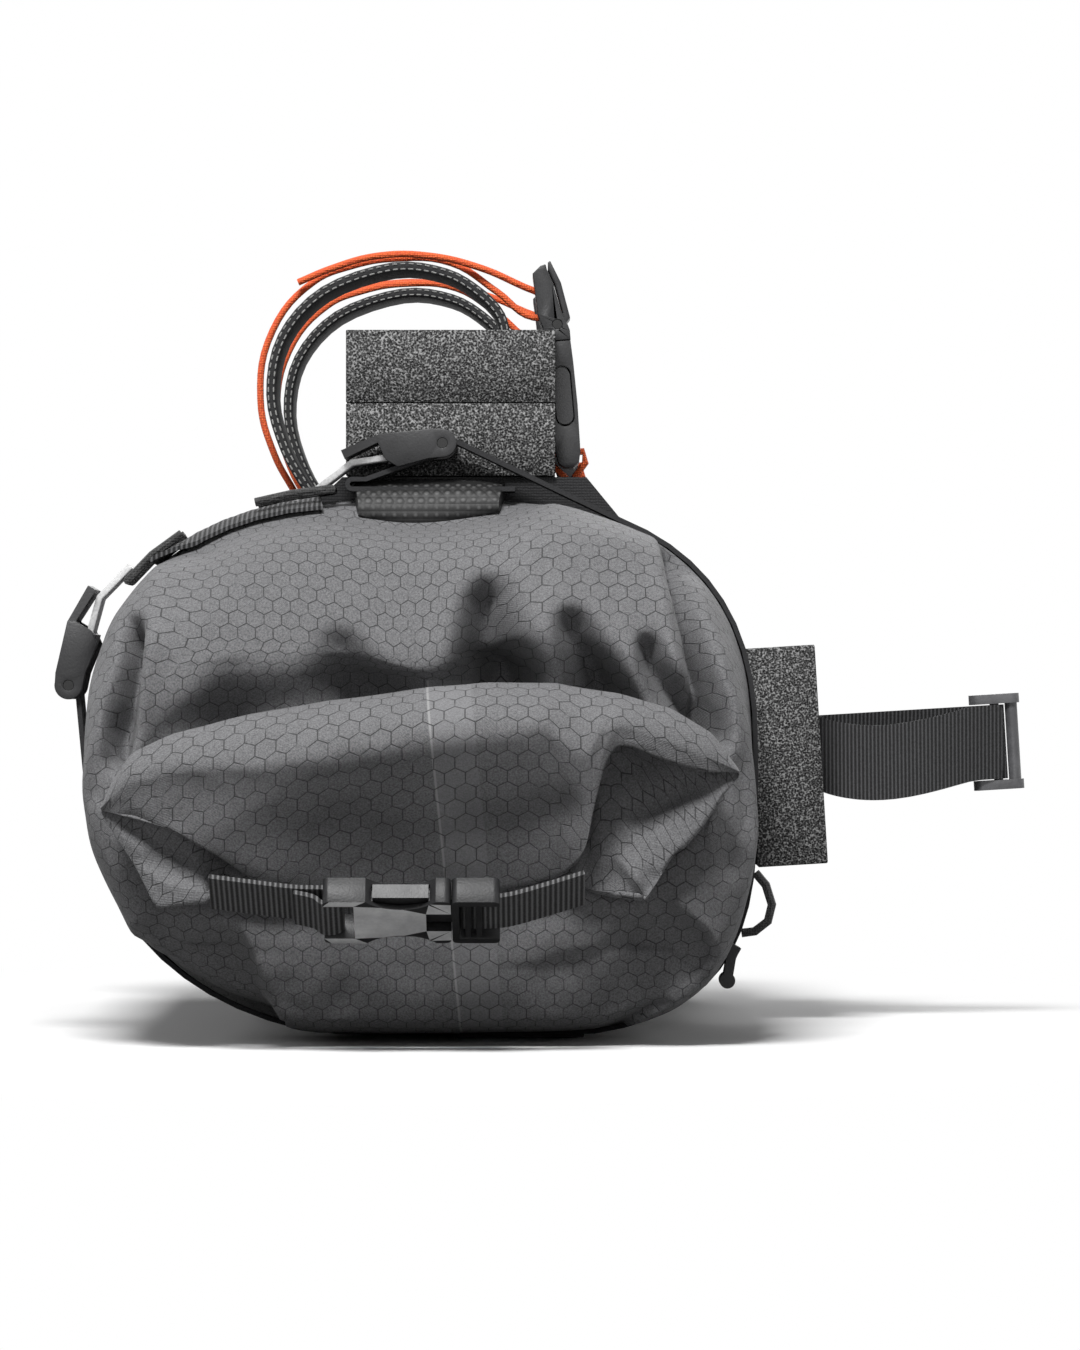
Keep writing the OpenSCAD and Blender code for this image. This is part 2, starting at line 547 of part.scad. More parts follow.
// Free cords, from the mount's platform.
BAR_CORD = [[-42, 2, -4.8], [-49, 2, 8.2], [-53.5, 2, 26.2], [-49.5, 2, 48.7], [-36, 2, 64.7],
    [-24, 2, 69.7], [-10, 2, 72.2], [9, 1, 70.7], [24, 0, 61.2], [36, 0, 52.8], [39.2, 0, 53.6],
    [41, 0, 55.6], [40.8, 0, 58.6], [38.2, 0, 60.5], [33, -1, 62.7], [19, -3, 68.7], [2, -4, 72.7],
    [-15, -4, 72.7], [-30, -3, 68.7], [-41, -2, 64.2]];
module left_bar_cord() color([0.95, 0.35, 0.1]) at_platform() tube(BAR_CORD, cord_r, [0, 1, 0]);
module right_bar_cord() far_side() left_bar_cord();
ANCHOR = [[-1.3, -7.5], [-1.6, -2.8], [-5.4, 1.5], [-5, 5.2], [5, 5.2], [5.4, 1.5], [1.6, -2.8],
    [1.3, -7.5]];
module anchor_cords() color([0.95, 0.35, 0.1]) pair() at_bar()
    tube([for (p = ANCHOR) [p[0], 0, p[1]]], cord_r, [0, 1, 0]);

// ---- Head tube strap ----
SPACER_LEAN = 3.5;
SPACER_OFF = 0.9;
SPACER_Z = 88;
SLOT_SIDE = 0.4;
spacer_x = bag_w / 2 + panel_t + lay_gap + SPACER_OFF;
slot_h = head_w + 2 * SLOT_SIDE;
RUN_Y = 12;
EYE = 2.45;
GROOVE = head_t + 2 * lay_gap;
module at_spacer() translate([spacer_x, 0, SPACER_Z]) rotate([0, -SPACER_LEAN, 0]) children();
module head_spacer() color([0.33, 0.33, 0.34]) at_spacer() difference() {
    translate([0, -spacer_w / 2, -spacer_h / 2]) cube([spacer_d, spacer_w, spacer_h]);
    for (s = [-1, 1]) translate([-1, s * RUN_Y - GROOVE / 2, -slot_h / 2])
        cube([spacer_d + 2, GROOVE, slot_h]);
    translate([-1, -RUN_Y, -slot_h / 2]) cube([1 + GROOVE, 2 * RUN_Y, slot_h]);
}
HALF_RUN = [[head_reach, EYE], [head_reach - 14, 6], [head_reach - 36, 11.4], [spacer_d + 8, RUN_Y],
    [spacer_d, RUN_Y], [3.4, RUN_Y], [1.4, RUN_Y - 0.4], [GROOVE / 2, RUN_Y - 1.6]];
FULL_RUN = concat(HALF_RUN, [for (i = [len(HALF_RUN) - 1:-1:0]) [HALF_RUN[i][0], -HALF_RUN[i][1]]]);
module head_strap() color([0.06, 0.06, 0.06]) at_spacer() difference() {
    translate([0, 0, -head_w / 2]) linear_extrude(head_w) {
        polygon(ribbon(FULL_RUN, -head_t / 2, head_t / 2));
        translate([head_reach, 0]) circle(r = EYE + head_t / 2);
    }
    translate([head_reach, 0, -head_w]) cylinder(h = 2 * head_w, r = EYE - head_t / 2);
}
SLIDER_CAP = 3.2;
SLIDER_LEN = 17;
SLIDER_W = 6.4;
BAR_STEP = 5.6;
BAR_R = 2.1;
module slider() color([0.35, 0.35, 0.36]) at_spacer() {
    for (z = [-slot_h / 2 - SLIDER_CAP, slot_h / 2]) translate([head_reach, 0, z])
        linear_extrude(SLIDER_CAP) round_rect(SLIDER_LEN, SLIDER_W, SLIDER_W / 2 - 0.2);
    for (b = [[0, EYE - head_t / 2 - EYE_PLAY], [BAR_STEP, BAR_R]]) translate([head_reach + b[0], 0, 0])
        cylinder(h = slot_h + SLIDER_CAP / 2, r = b[1], center = true);
}

// ---- Closure buckles ----
// The buckle's frame: X along its axis, Y across its width, Z out of its broad face.
BUCKLE = [-1.3, 43.5];
BUCKLE_TILT = 150;
SEAM = 12.1;
TAIL_END = -27;
NOSE_END = 27;
MOUTH = 10.6;
SLIT = 10.4;
module at_closure() translate([BUCKLE[0], -fold_face, BUCKLE[1]])
    rotate([BUCKLE_TILT, 0, 0]) children();
module box(b) translate([b[0], -b[2], b[3]]) cube([b[1] - b[0], 2 * b[2], b[4] - b[3]]);
// Boxes in the buckle's frame: from and to along it, half width, and from and to through it.
ROOM = [-15.5, SEAM + 1, MOUTH, -2.6, 2.6];
SIDE_WINDOW = [-12.2, 5.7, buckle_w, -2.9, 2.9];
WINDOW_CORE = [-12.2, 5.7, MOUTH - 1, -3, 3];
WEB_SLOT = [-23.6, -17.6, SLIT, -buckle_t, buckle_t];
WEB_STEP_UP = [TAIL_END - 1, -17.6, SLIT, 1.5, buckle_t];
WEB_STEP_DOWN = [TAIL_END - 1, -17.6, SLIT, -buckle_t, -1.5];
NOTCH = [4.5, SEAM + 1, 5.5, 0, buckle_t];
LADDER = [14.6, NOSE_END + 1, SLIT, -0.9, buckle_t];
GUIDE = [-12, 12.6, 3.2, -2.2, 2.2];
RUNGS = [16.4, 19.8];
RUNG = [1.7, 1.9, 3.7];
WAIST_R = 14;
WAIST = [-3.2, 9];
PLUG_GAP = 0.3;
CORNER_R = 2;
module closure_socket_solid() color([0.2, 0.2, 0.21]) at_closure() difference() {
    linear_extrude(buckle_t, center = true) difference() {
        translate([(SEAM + TAIL_END) / 2, 0]) round_rect(SEAM - TAIL_END, buckle_w, CORNER_R);
        for (s = [-1, 1]) translate([WAIST[0], s * (buckle_w / 2 + WAIST[1])])
            circle(r = WAIST_R, $fn = 48);
    }
    box(ROOM);
    difference() {
        box(SIDE_WINDOW);
        box(WINDOW_CORE);
    }
    box(WEB_SLOT);
    box(WEB_STEP_UP);
    box(WEB_STEP_DOWN);
    box(NOTCH);
}
module left_closure_socket() closure_socket_solid();
module right_closure_socket() far_side() closure_socket_solid();
module closure_plug_solid() color([0.2, 0.2, 0.21]) at_closure() {
    difference() {
        linear_extrude(buckle_t, center = true) translate([(SEAM + PLUG_GAP + NOSE_END) / 2, 0])
            round_rect(NOSE_END - SEAM - PLUG_GAP, buckle_w, CORNER_R);
        box(LADDER);
    }
    for (x = RUNGS) box([x, x + RUNG[0], SLIT + 0.2, RUNG[1], RUNG[2]]);
    box(GUIDE);
}
module left_closure_plug() closure_plug_solid();
module right_closure_plug() far_side() closure_plug_solid();
LEG_TIP = -14;
LEG = [3, 4.4];
LEG_FACE = 6.6;
KEY_TIP = -11.8;
KEY = [17.1, 3.2, 4.6];
KEY_FACE = 9.5;
module closure_prong(s) color([0.15, 0.15, 0.16]) at_closure() mirror([0, s > 0 ? 0 : 1, 0]) {
    translate([LEG_TIP, LEG_FACE, -LEG[1] / 2]) cube([SEAM - LEG_TIP, LEG[0], LEG[1]]);
    translate([KEY_TIP, KEY_FACE, -KEY[2] / 2]) cube(KEY);
}
module left_closure_prong_upper() closure_prong(1);
module left_closure_prong_lower() closure_prong(-1);
module right_closure_prong_upper() far_side() closure_prong(1);
module right_closure_prong_lower() far_side() closure_prong(-1);
FIXED_RUN = [[-36, -1.2], [-30, 0.3], [-27.5, 2.3], [-24.5, 2.6], [-22, 1.6], [-21.4, 0], [-22, -1.6],
    [-24.5, -2.6], [-27.5, -2.8], [-36, -3], [-48, -4.6], [-62, -6.6]];
FREE_RUN = [[15, 0.3], [23, 0.3], [30, -0.4], [40, -3.5], [52.9, -8]];
module web(run) at_closure() centred_y(web_w) polygon(ribbon(smooth(run, 3), -web_t / 2, web_t / 2));
module closure_straps_fixed() color([0.06, 0.06, 0.06]) pair() web(FIXED_RUN);
module left_closure_strap_free() color([0.06, 0.06, 0.06]) web(FREE_RUN);
module right_closure_strap_free() far_side() color([0.06, 0.06, 0.06]) web(FREE_RUN);

// ---- Cord loops and tabs at the back of the base ----
REAR_LOOP = [[-11, 0], [-13, 3.8], [-16.5, 6.8], [-20, 6.8], [-23, 3.8], [-24.5, 0]];
REAR_TAB = [[-28, 0.1], [-31, 0.1], [-34, 1.5], [-37, 3.3]];
TAB_T = 3;
TAB_W = 12;
TAB_BEAD = 1;
tab_y = strap_y + strap_w / 2 + KEEPER_SIDE + TAB_W / 2;
module rear_cord_loops() color([0.05, 0.05, 0.05]) pair()
    tube([for (a = REAR_LOOP) let (p = skin_pt(a[0], lay_gap + loop_r + a[1])) [p[0], -tab_y, p[1]]],
        loop_r, [0, 1, 0]);
module rear_tabs() color([0.2, 0.2, 0.21]) pair() translate([0, -tab_y, 0]) centred_y(TAB_W) {
    path = smooth([for (a = REAR_TAB) skin_pt(a[0], lay_gap + TAB_T / 2 + a[1])], 3);
    polygon(ribbon(path, -TAB_T / 2, TAB_T / 2));
    translate(path[len(path) - 1]) circle(r = TAB_T / 2 + TAB_BEAD);
}

bag_shell();
left_roll();
right_roll();
roll_battens();
stiffener_sheet();
back_panel();
base_patch();
left_compression_strap();
right_compression_strap();
strap_keepers();
strap_sleeves();
tensioner_pins();
left_top_tensioner();
left_front_tensioner();
right_top_tensioner();
right_front_tensioner();
left_top_hook();
left_front_hook();
right_top_hook();
right_front_hook();
hook_webbings();
hook_loops();
left_mount_base();
right_mount_base();
left_foam_pads();
right_foam_pads();
left_bar_strap();
right_bar_strap();
left_bar_socket();
right_bar_socket();
left_bar_plug();
right_bar_plug();
left_bar_prong_outer();
left_bar_prong_inner();
right_bar_prong_outer();
right_bar_prong_inner();
left_cam_lever();
right_cam_lever();
left_cam_pin();
right_cam_pin();
left_bar_cord();
right_bar_cord();
anchor_cords();
head_spacer();
head_strap();
slider();
left_closure_socket();
right_closure_socket();
left_closure_plug();
right_closure_plug();
left_closure_prong_upper();
left_closure_prong_lower();
right_closure_prong_upper();
right_closure_prong_lower();
closure_straps_fixed();
left_closure_strap_free();
right_closure_strap_free();
rear_cord_loops();
rear_tabs();
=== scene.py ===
# %% [markdown]
# # Dressing a roll-top handlebar bag
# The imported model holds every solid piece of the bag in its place. This lesson loads it as a
# frame, makes the soft pieces again as cloth and cord, and gives every piece its finish. The
# frame could be edited directly, but the physics was checked on its meshes, so they stay
# untouched, and a piece that looks different replaces its solid in view only.

# %% Load the frame
import bpy
import bmesh
import math
import numpy as np
from numpy.linalg import norm
from mathutils import Matrix, Vector, noise


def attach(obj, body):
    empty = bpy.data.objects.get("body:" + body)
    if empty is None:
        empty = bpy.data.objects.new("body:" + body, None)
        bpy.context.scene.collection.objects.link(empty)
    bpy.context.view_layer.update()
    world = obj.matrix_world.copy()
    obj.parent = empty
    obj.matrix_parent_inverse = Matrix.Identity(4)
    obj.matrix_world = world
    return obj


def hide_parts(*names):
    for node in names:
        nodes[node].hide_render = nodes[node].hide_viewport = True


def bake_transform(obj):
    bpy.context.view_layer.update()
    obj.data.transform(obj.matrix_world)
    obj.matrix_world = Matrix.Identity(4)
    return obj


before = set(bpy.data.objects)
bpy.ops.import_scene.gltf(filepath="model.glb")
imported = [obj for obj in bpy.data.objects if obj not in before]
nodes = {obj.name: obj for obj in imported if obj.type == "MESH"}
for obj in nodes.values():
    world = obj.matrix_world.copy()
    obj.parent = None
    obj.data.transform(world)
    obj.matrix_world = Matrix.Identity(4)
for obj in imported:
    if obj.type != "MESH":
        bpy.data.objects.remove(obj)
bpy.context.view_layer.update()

scene = bpy.context.scene

# %% [markdown]
# ## Sizes that the soft pieces share with the solids
# The bag's section is a superellipse with its own roundness in each quarter and a flat base.
# It could be measured on the solid, but a formula gives as many points as a sheet needs. All
# lengths are in millimetres.

# %% The bag's section
MM = 0.001
BAG_W = 212
BAG_H = 170
BAG_MID = 87.8
BASE_CUT = 2.5
ROUNDNESS = (2.7, 2.65, 2.3, 3.6)
BODY_HALF = 120
END_LEN = 49
STRAP_Y = 104
MOUNT_Y = 68
MOUNT_HALF = 26
SIDES = (("left", -1), ("right", 1))


def power(value, n):
    return math.copysign(abs(value) ** (2 / n), value)


def section(t):
    t = t % 360
    n = ROUNDNESS[int(t // 90)]
    s = power(math.sin(math.radians(t)), n)
    z = BAG_H / 2 * s if s >= 0 else max(-BAG_H / 2, (BAG_H / 2 + BASE_CUT) * s)
    return np.array([BAG_W / 2 * power(math.cos(math.radians(t)), n), BAG_MID + z])


print("section is", BAG_W, "by", BAG_H, "mm")

# %% [markdown]
# ## Helpers for modelling
# An operator acts on all that is selected, so each helper deselects first. A copy of a CAD node
# is loose triangles, so its doubles are merged before anything else is done to it.


# %% Selecting, placing and copying
def only(obj):
    bpy.ops.object.select_all(action="DESELECT")
    obj.select_set(True)
    bpy.context.view_layer.objects.active = obj
    return obj


def placed(name, data):
    obj = bpy.data.objects.new(name, data)
    scene.collection.objects.link(obj)
    return obj


def copy_node(node, name):
    obj = placed(name, nodes[node].data.copy())
    obj.data.transform(nodes[node].matrix_world)
    obj.data.materials.clear()
    only(obj)
    bpy.ops.object.mode_set(mode="EDIT")
    bpy.ops.mesh.select_all(action="SELECT")
    bpy.ops.mesh.remove_doubles(threshold=0.00002)
    bpy.ops.object.mode_set(mode="OBJECT")
    return obj


def apply_modifiers(obj):
    only(obj)
    for modifier in list(obj.modifiers):
        bpy.ops.object.modifier_apply(modifier=modifier.name)
    return obj


# %% Points in millimetres, and soft limits
def vertex_values(obj, kind):
    values = np.empty(len(obj.data.vertices) * 3)
    obj.data.vertices.foreach_get(kind, values)
    return values.reshape(-1, 3)


def points_of(obj):
    return vertex_values(obj, "co") / MM


def move_points(obj, co):
    obj.data.vertices.foreach_set("co", (co * MM).ravel())
    obj.data.update()


def grows(value, start, over):
    """0 up to start, then even growth to 1."""
    return np.clip((value - start) / over, 0, 1)


def hump(value, middle, wide, flatness=2):
    """1 at the middle, falling off over wide."""
    return np.exp(-((value - middle) / wide) ** flatness)


# %% A finished piece
def set_piece(obj, mat, on, slot, *stands_for):
    """on is a body, to which the piece is attached; given two bodies and two points, the piece
    stays in place unattached.
    """
    obj.data.materials.append(mat)
    only(obj)
    bpy.ops.object.transform_apply(location=True, rotation=True, scale=True)
    if isinstance(on, str):
        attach(obj, on)
    else:
        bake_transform(obj)
    if stands_for:
        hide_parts(*stands_for)
    return obj


# %% [markdown]
# ## The finishes
# Each finish is a procedural material. It could be baked into pictures, but nodes keep their
# true scale in metres. `add` makes a node, fills its inputs and links those given as sockets.


# %% Node helpers
def material(name, colour, roughness, metallic=0.0, specular=0.5, sheen=0.0):
    mat = bpy.data.materials.new(name)
    mat.use_nodes = True
    mat.diffuse_color = (*colour, 1)
    shader = mat.node_tree.nodes["Principled BSDF"]
    values = {"Base Color": (*colour, 1), "Roughness": roughness, "Metallic": metallic,
              "Specular IOR Level": specular, "Sheen Weight": sheen}
    for socket, value in values.items():
        shader.inputs[socket].default_value = value
    return mat, shader


def add(mat, kind, inputs=(), **settings):
    node = mat.node_tree.nodes.new(kind)
    for key, value in settings.items():
        setattr(node, key, value)
    for key, value in dict(inputs).items():
        if isinstance(value, bpy.types.NodeSocket):
            mat.node_tree.links.new(value, node.inputs[key])
        else:
            node.inputs[key].default_value = value
    return node


def join(mat, a, socket):
    mat.node_tree.links.new(a, socket)


def math_node(mat, operation, a, b=0.0):
    return add(mat, "ShaderNodeMath", {0: a, 1: b}, operation=operation).outputs[0]


def times(mat, a, b):
    return math_node(mat, "MULTIPLY", a, b)


def plus(mat, a, b):
    return math_node(mat, "ADD", a, b)


def vector_node(mat, operation, a, b=(0, 0, 0), output="Vector"):
    return add(mat, "ShaderNodeVectorMath", {0: a, 1: b}, operation=operation).outputs[output]


def split(mat, vector):
    return add(mat, "ShaderNodeSeparateXYZ", {0: vector}).outputs


def remap(mat, value, low=0.0, high=1.0, to_low=0.0, to_high=1.0, how="LINEAR"):
    inputs = {0: value, 1: low, 2: high, 3: to_low, 4: to_high}
    return add(mat, "ShaderNodeMapRange", inputs, interpolation_type=how).outputs[0]


def mixed(mat, factor, a, b):
    return add(mat, "ShaderNodeMix", {0: factor, 6: a, 7: b}, data_type="RGBA").outputs[2]


def toned(colour, factor):
    return tuple(min(1, c * factor) for c in colour)


# %% Pattern helpers
def ramp(mat, factor, *stops):
    node = add(mat, "ShaderNodeValToRGB", {"Fac": factor})
    elements = node.color_ramp.elements
    while len(elements) < len(stops):
        elements.new(0.5)
    for element, (place, colour) in zip(elements, stops):
        element.position = place
        element.color = (*colour, 1)
    return node.outputs["Color"]


def place_of(mat, scale=(1, 1, 1), turned=(0, 0, 0), source="Object"):
    where = add(mat, "ShaderNodeTexCoord").outputs[source]
    mapping = add(mat, "ShaderNodeMapping", {"Vector": where, "Scale": scale, "Rotation": turned})
    return mapping.outputs["Vector"]


def noise_at(mat, where, scale, detail=2.0, roughness=0.5):
    inputs = {"Vector": where, "Scale": scale, "Detail": detail, "Roughness": roughness}
    return add(mat, "ShaderNodeTexNoise", inputs).outputs["Fac"]


def cells_at(mat, where, scale, randomness=1.0):
    inputs = {"Vector": where, "Scale": scale, "Randomness": randomness}
    return add(mat, "ShaderNodeTexVoronoi", inputs).outputs["Distance"]


def dress(mat, shader, colour, height, distance, strength=1.0):
    """Colour and relief of a finish; distance is the bumps' height in metres."""
    join(mat, colour, shader.inputs["Base Color"])
    inputs = {"Height": height, "Distance": distance, "Strength": strength}
    join(mat, add(mat, "ShaderNodeBump", inputs).outputs["Normal"], shader.inputs["Normal"])
    return mat


# %% [markdown]
# ### Honeycomb ripstop
# The cloth is coated nylon with a honeycomb of thicker threads. A cell is about 6 mm across.
# The distance to a cell's edge comes from two offset rectangular lattices: the nearer
# centre wins, and the edge distance is read along the three directions of a hexagon.

# %% Honeycomb lattice
CELL = 0.0058
ROWS = 1.732
THREAD = (0.462, 0.49)


def honeycomb(mat, where):
    """1 on the threads of a hexagonal lattice, 0 inside its cells."""
    grid = vector_node(mat, "MULTIPLY", where, (1 / CELL,) * 3)
    offsets = []
    for shift in (0.0, 0.5):
        moved = vector_node(mat, "ADD", grid, (shift, shift * ROWS, 0))
        cell = vector_node(mat, "MODULO", moved, (1, ROWS, 1))
        cell = vector_node(mat, "SUBTRACT", cell, (0.5, ROWS / 2, 0))
        offsets.append(vector_node(mat, "MULTIPLY", cell, (1, 1, 0)))
    lengths = [vector_node(mat, "LENGTH", offset, output="Value") for offset in offsets]
    nearer = math_node(mat, "LESS_THAN", *lengths)
    pick = {0: nearer, 4: offsets[1], 5: offsets[0]}
    centre = add(mat, "ShaderNodeMix", pick, data_type="VECTOR").outputs[1]
    size = vector_node(mat, "ABSOLUTE", centre)
    slanted = vector_node(mat, "DOT_PRODUCT", size, (0.5, ROWS / 2, 0), "Value")
    reach = math_node(mat, "MAXIMUM", split(mat, size)["X"], slanted)
    return remap(mat, reach, *THREAD, how="SMOOTHSTEP")


# %% Taped seam and the cloth
TAPE_X = 0.0137
TAPE_W = 0.0135
TAPE_LEAN = 0.0935
TAPE_FROM_Y = 0.125
TAPE_TOP = 0.114
WEAVE = 9000
UV_SHIFT = (4.0, 4.0, 0)


def taped_seam(mat, solid):
    """How strongly the tape and its edge show on the ends, below the roll's top."""
    place = split(mat, solid)
    on_end = math_node(mat, "GREATER_THAN", math_node(mat, "ABSOLUTE", place["Y"]), TAPE_FROM_Y)
    on_end = times(mat, on_end, math_node(mat, "LESS_THAN", place["Z"], TAPE_TOP))
    lean = plus(mat, place["X"], times(mat, place["Z"], TAPE_LEAN))
    shown = []
    for middle, outer, inner, strength in (
            (TAPE_X + TAPE_W / 2, TAPE_W / 2 + 0.0004, TAPE_W / 2 - 0.0002, 0.32),
            (TAPE_X, 0.0005, 0.0002, 0.85)):
        off = math_node(mat, "ABSOLUTE", math_node(mat, "SUBTRACT", lean, middle))
        inside = times(mat, remap(mat, off, outer, inner), on_end)
        shown.append(times(mat, inside, strength))
    return shown


def honeycomb_cloth(name, colour):
    mat, shader = material(name, colour, 0.72, specular=0.28, sheen=0.06)
    cloth = place_of(mat, (1, 1, 0), source="UV")
    solid = place_of(mat)
    threads = honeycomb(mat, vector_node(mat, "ADD", cloth, UV_SHIFT))
    worn = remap(mat, noise_at(mat, solid, 260), 0.3, 0.48, 0.25)
    threads = times(mat, threads, worn)
    flat = split(mat, cloth)
    weave = times(mat, *[math_node(mat, "SINE", times(mat, flat[axis], WEAVE)) for axis in "XY"])
    cloudy = noise_at(mat, solid, 14, 3)
    grain = noise_at(mat, solid, 1900)
    base = ramp(mat, cloudy, (0.3, toned(colour, 0.84)), (0.7, toned(colour, 1.14)))
    specks = ramp(mat, grain, (0.3, toned(colour, 0.45)), (0.7, toned(colour, 1.6)))
    base = mixed(mat, 0.6, base, specks)
    tape, edge = taped_seam(mat, solid)
    base = mixed(mat, tape, base, (*toned(colour, 1.7), 1))
    base = mixed(mat, edge, base, (0.34, 0.34, 0.34, 1))
    base = mixed(mat, times(mat, threads, 0.85), base, (*toned(colour, 0.22), 1))
    relief = plus(mat, times(mat, weave, 0.16), times(mat, threads, -0.7))
    relief = plus(mat, relief, times(mat, grain, 0.4))
    return dress(mat, shader, base, relief, 0.0003)


ripstop = honeycomb_cloth("honeycomb_ripstop", (0.165, 0.165, 0.17))
print("made", ripstop.name)

# %% [markdown]
# ### Webbing
# Webbing is woven flat with fine ribs. A UV map could carry them, but each strap runs along an
# XZ plane or across it, so ribs at a fixed pitch on Object coordinates follow it with no map.


# %% Webbing finish
def webbing(name, colour, along, pitch):
    mat, shader = material(name, colour, 0.78, specular=0.3, sheen=0.05)
    where = place_of(mat)
    turns = times(mat, split(mat, where)[along], 2 * math.pi / pitch)
    rib = plus(mat, times(mat, math_node(mat, "SINE", turns), 0.5), 0.5)
    fuzz = times(mat, noise_at(mat, where, 1500, 3), 0.5)
    height = plus(mat, times(mat, rib, 0.75), fuzz)
    base = ramp(mat, height, (0.2, toned(colour, 0.15)), (0.6, colour), (0.95, toned(colour, 3.4)))
    return dress(mat, shader, base, height, 0.0003)


black_webbing = webbing("black_webbing", (0.009, 0.009, 0.0095), "Y", 0.0011)
strap_webbing = webbing("strap_webbing", (0.055, 0.055, 0.056), "X", 0.0016)
head_webbing = webbing("head_webbing", (0.024, 0.024, 0.025), "X", 0.0013)
grey_webbing = webbing("grey_webbing", (0.036, 0.036, 0.037), "X", 0.0016)
print("webbing made")

# %% [markdown]
# ### Coated cloth, dotted mesh and foam
# The patches and padded straps are woven coated cloth, the sleeves a mesh of small holes, and
# the spacers foam full of pores. Each could be modelled thread by thread, but cells of the right
# size, as colour and as bump, read the same and cost no faces.


# %% Coated cloth
def coated_cloth(name, colour, roughness):
    mat, shader = material(name, colour, roughness, specular=0.35)
    where = place_of(mat)
    weave = cells_at(mat, where, 1100, 0.25)
    cloudy = noise_at(mat, where, 40, 3)
    base = ramp(mat, cloudy, (0.3, toned(colour, 0.7)), (0.7, toned(colour, 1.4)))
    threads = ramp(mat, weave, (0.1, toned(colour, 1.9)), (0.6, toned(colour, 0.4)))
    base = mixed(mat, 0.35, base, threads)
    return dress(mat, shader, base, math_node(mat, "SUBTRACT", 1.0, weave), 0.0002, 0.8)


black_cloth = coated_cloth("black_coated_cloth", (0.012, 0.012, 0.013), 0.62)
padded_cloth = coated_cloth("padded_strap_cloth", (0.016, 0.016, 0.017), 0.75)
print("made", black_cloth.name, padded_cloth.name)


# %% Dotted mesh and foam
def dotted_mesh(name):
    mat, shader = material(name, (0.03, 0.03, 0.03), 0.6)
    dots = cells_at(mat, place_of(mat, turned=(0, 0, 0.785)), 420, 0.0)
    base = ramp(mat, dots, (0.22, (0.07, 0.07, 0.07)), (0.4, (0.006, 0.006, 0.006)))
    return dress(mat, shader, base, math_node(mat, "SUBTRACT", 1.0, dots), 0.0005)


def speckled_foam(name):
    mat, shader = material(name, (0.1, 0.1, 0.1), 0.92, specular=0.15)
    where = place_of(mat)
    cells = times(mat, noise_at(mat, where, 1500, 2, 0.6), 0.75)
    pores = times(mat, cells_at(mat, where, 1500), 0.4)
    speckle = plus(mat, cells, pores)
    greys = ((0.4, 0.008), (0.52, 0.045), (0.62, 0.11), (0.74, 0.38))
    base = ramp(mat, speckle, *[(at, (grey, grey, grey)) for at, grey in greys])
    return dress(mat, shader, base, speckle, 0.0006, 0.9)


sleeve_mesh = dotted_mesh("dotted_sleeve_mesh")
foam = speckled_foam("speckled_foam")
print("made", sleeve_mesh.name, foam.name)

# %% [markdown]
# ### Moulded plastic, metal and braided cord
# Moulded nylon has a fine grain and faint scuffs, the hooks are aluminium drawn one way, and the
# cords and threads are braided. Each could have a map of its own, but noise stretched along the
# metal and cells the size of a strand need none.


# %% Moulded parts
def moulded(name, colour, roughness=0.42, grain=1400, specular=0.5):
    mat, shader = material(name, colour, roughness, specular=specular)
    where = place_of(mat)
    scuffs = noise_at(mat, where, 90, 4, 0.7)
    pale = tuple(min(1, c * 1.5 + 0.004) for c in colour)
    base = ramp(mat, scuffs, (0.35, toned(colour, 0.8)), (0.75, pale))
    shade = remap(mat, scuffs, to_low=roughness - 0.08, to_high=roughness + 0.14)
    join(mat, shade, shader.inputs["Roughness"])
    return dress(mat, shader, base, noise_at(mat, where, grain), 0.00012, 0.6)


black_plastic = moulded("black_moulded_plastic", (0.012, 0.012, 0.013))
grey_plastic = moulded("grey_moulded_plastic", (0.016, 0.016, 0.017), specular=0.3)
slider_plastic = moulded("slider_moulded_plastic", (0.1, 0.1, 0.105), 0.4)
# Pale grey for the buckle faces turned down and forward: painted reflection of the bright floor.
painted_reflection = moulded("buckle_painted_reflection", (0.8, 0.8, 0.81), 0.4, 600)
print("moulded finishes made")


# %% Metal and braid
def brushed(name, colour, roughness, metallic, stretch):
    mat, shader = material(name, colour, roughness, metallic)
    streaks = noise_at(mat, place_of(mat, stretch), 1200, 3)
    base = ramp(mat, streaks, (0.3, toned(colour, 0.82)), (0.7, toned(colour, 1.1)))
    return dress(mat, shader, base, streaks, 0.00006, 0.5)


def braided(name, colour, fleck, pitch=0.0013):
    mat, shader = material(name, colour, 0.7, sheen=0.15)
    strands = cells_at(mat, place_of(mat), 1 / pitch * 1.6, 0.35)
    base = ramp(mat, strands, (0.15, colour), (0.5, toned(colour, 0.7)), (0.62, fleck))
    return dress(mat, shader, base, math_node(mat, "SUBTRACT", 1.0, strands), 0.0004)


hook_metal = brushed("white_hook_aluminium", (0.78, 0.78, 0.78), 0.38, 0.15, (1, 0.15, 1))
pin_steel = brushed("pin_steel", (0.012, 0.012, 0.012), 0.5, 0.2, (1, 0.1, 1))
orange_braid = braided("orange_braid", (1.0, 0.16, 0.03), (0.7, 0.08, 0.02))
black_braid = braided("black_braid", (0.014, 0.014, 0.014), (0.05, 0.05, 0.05))
white_thread = braided("white_thread", (0.55, 0.55, 0.53), (0.3, 0.3, 0.3), 0.0005)
print("finishes made:", len(bpy.data.materials))

# %% [markdown]
# ## Fold tool
# Cloth that is rolled shut gathers above and below the roll. A valley is soft on both sides, and
# an overlap has a sharp edge: one side stands up and the other dives under it. Both could be
# carved with a brush, but moving the points by a formula gives the same folds at both ends.


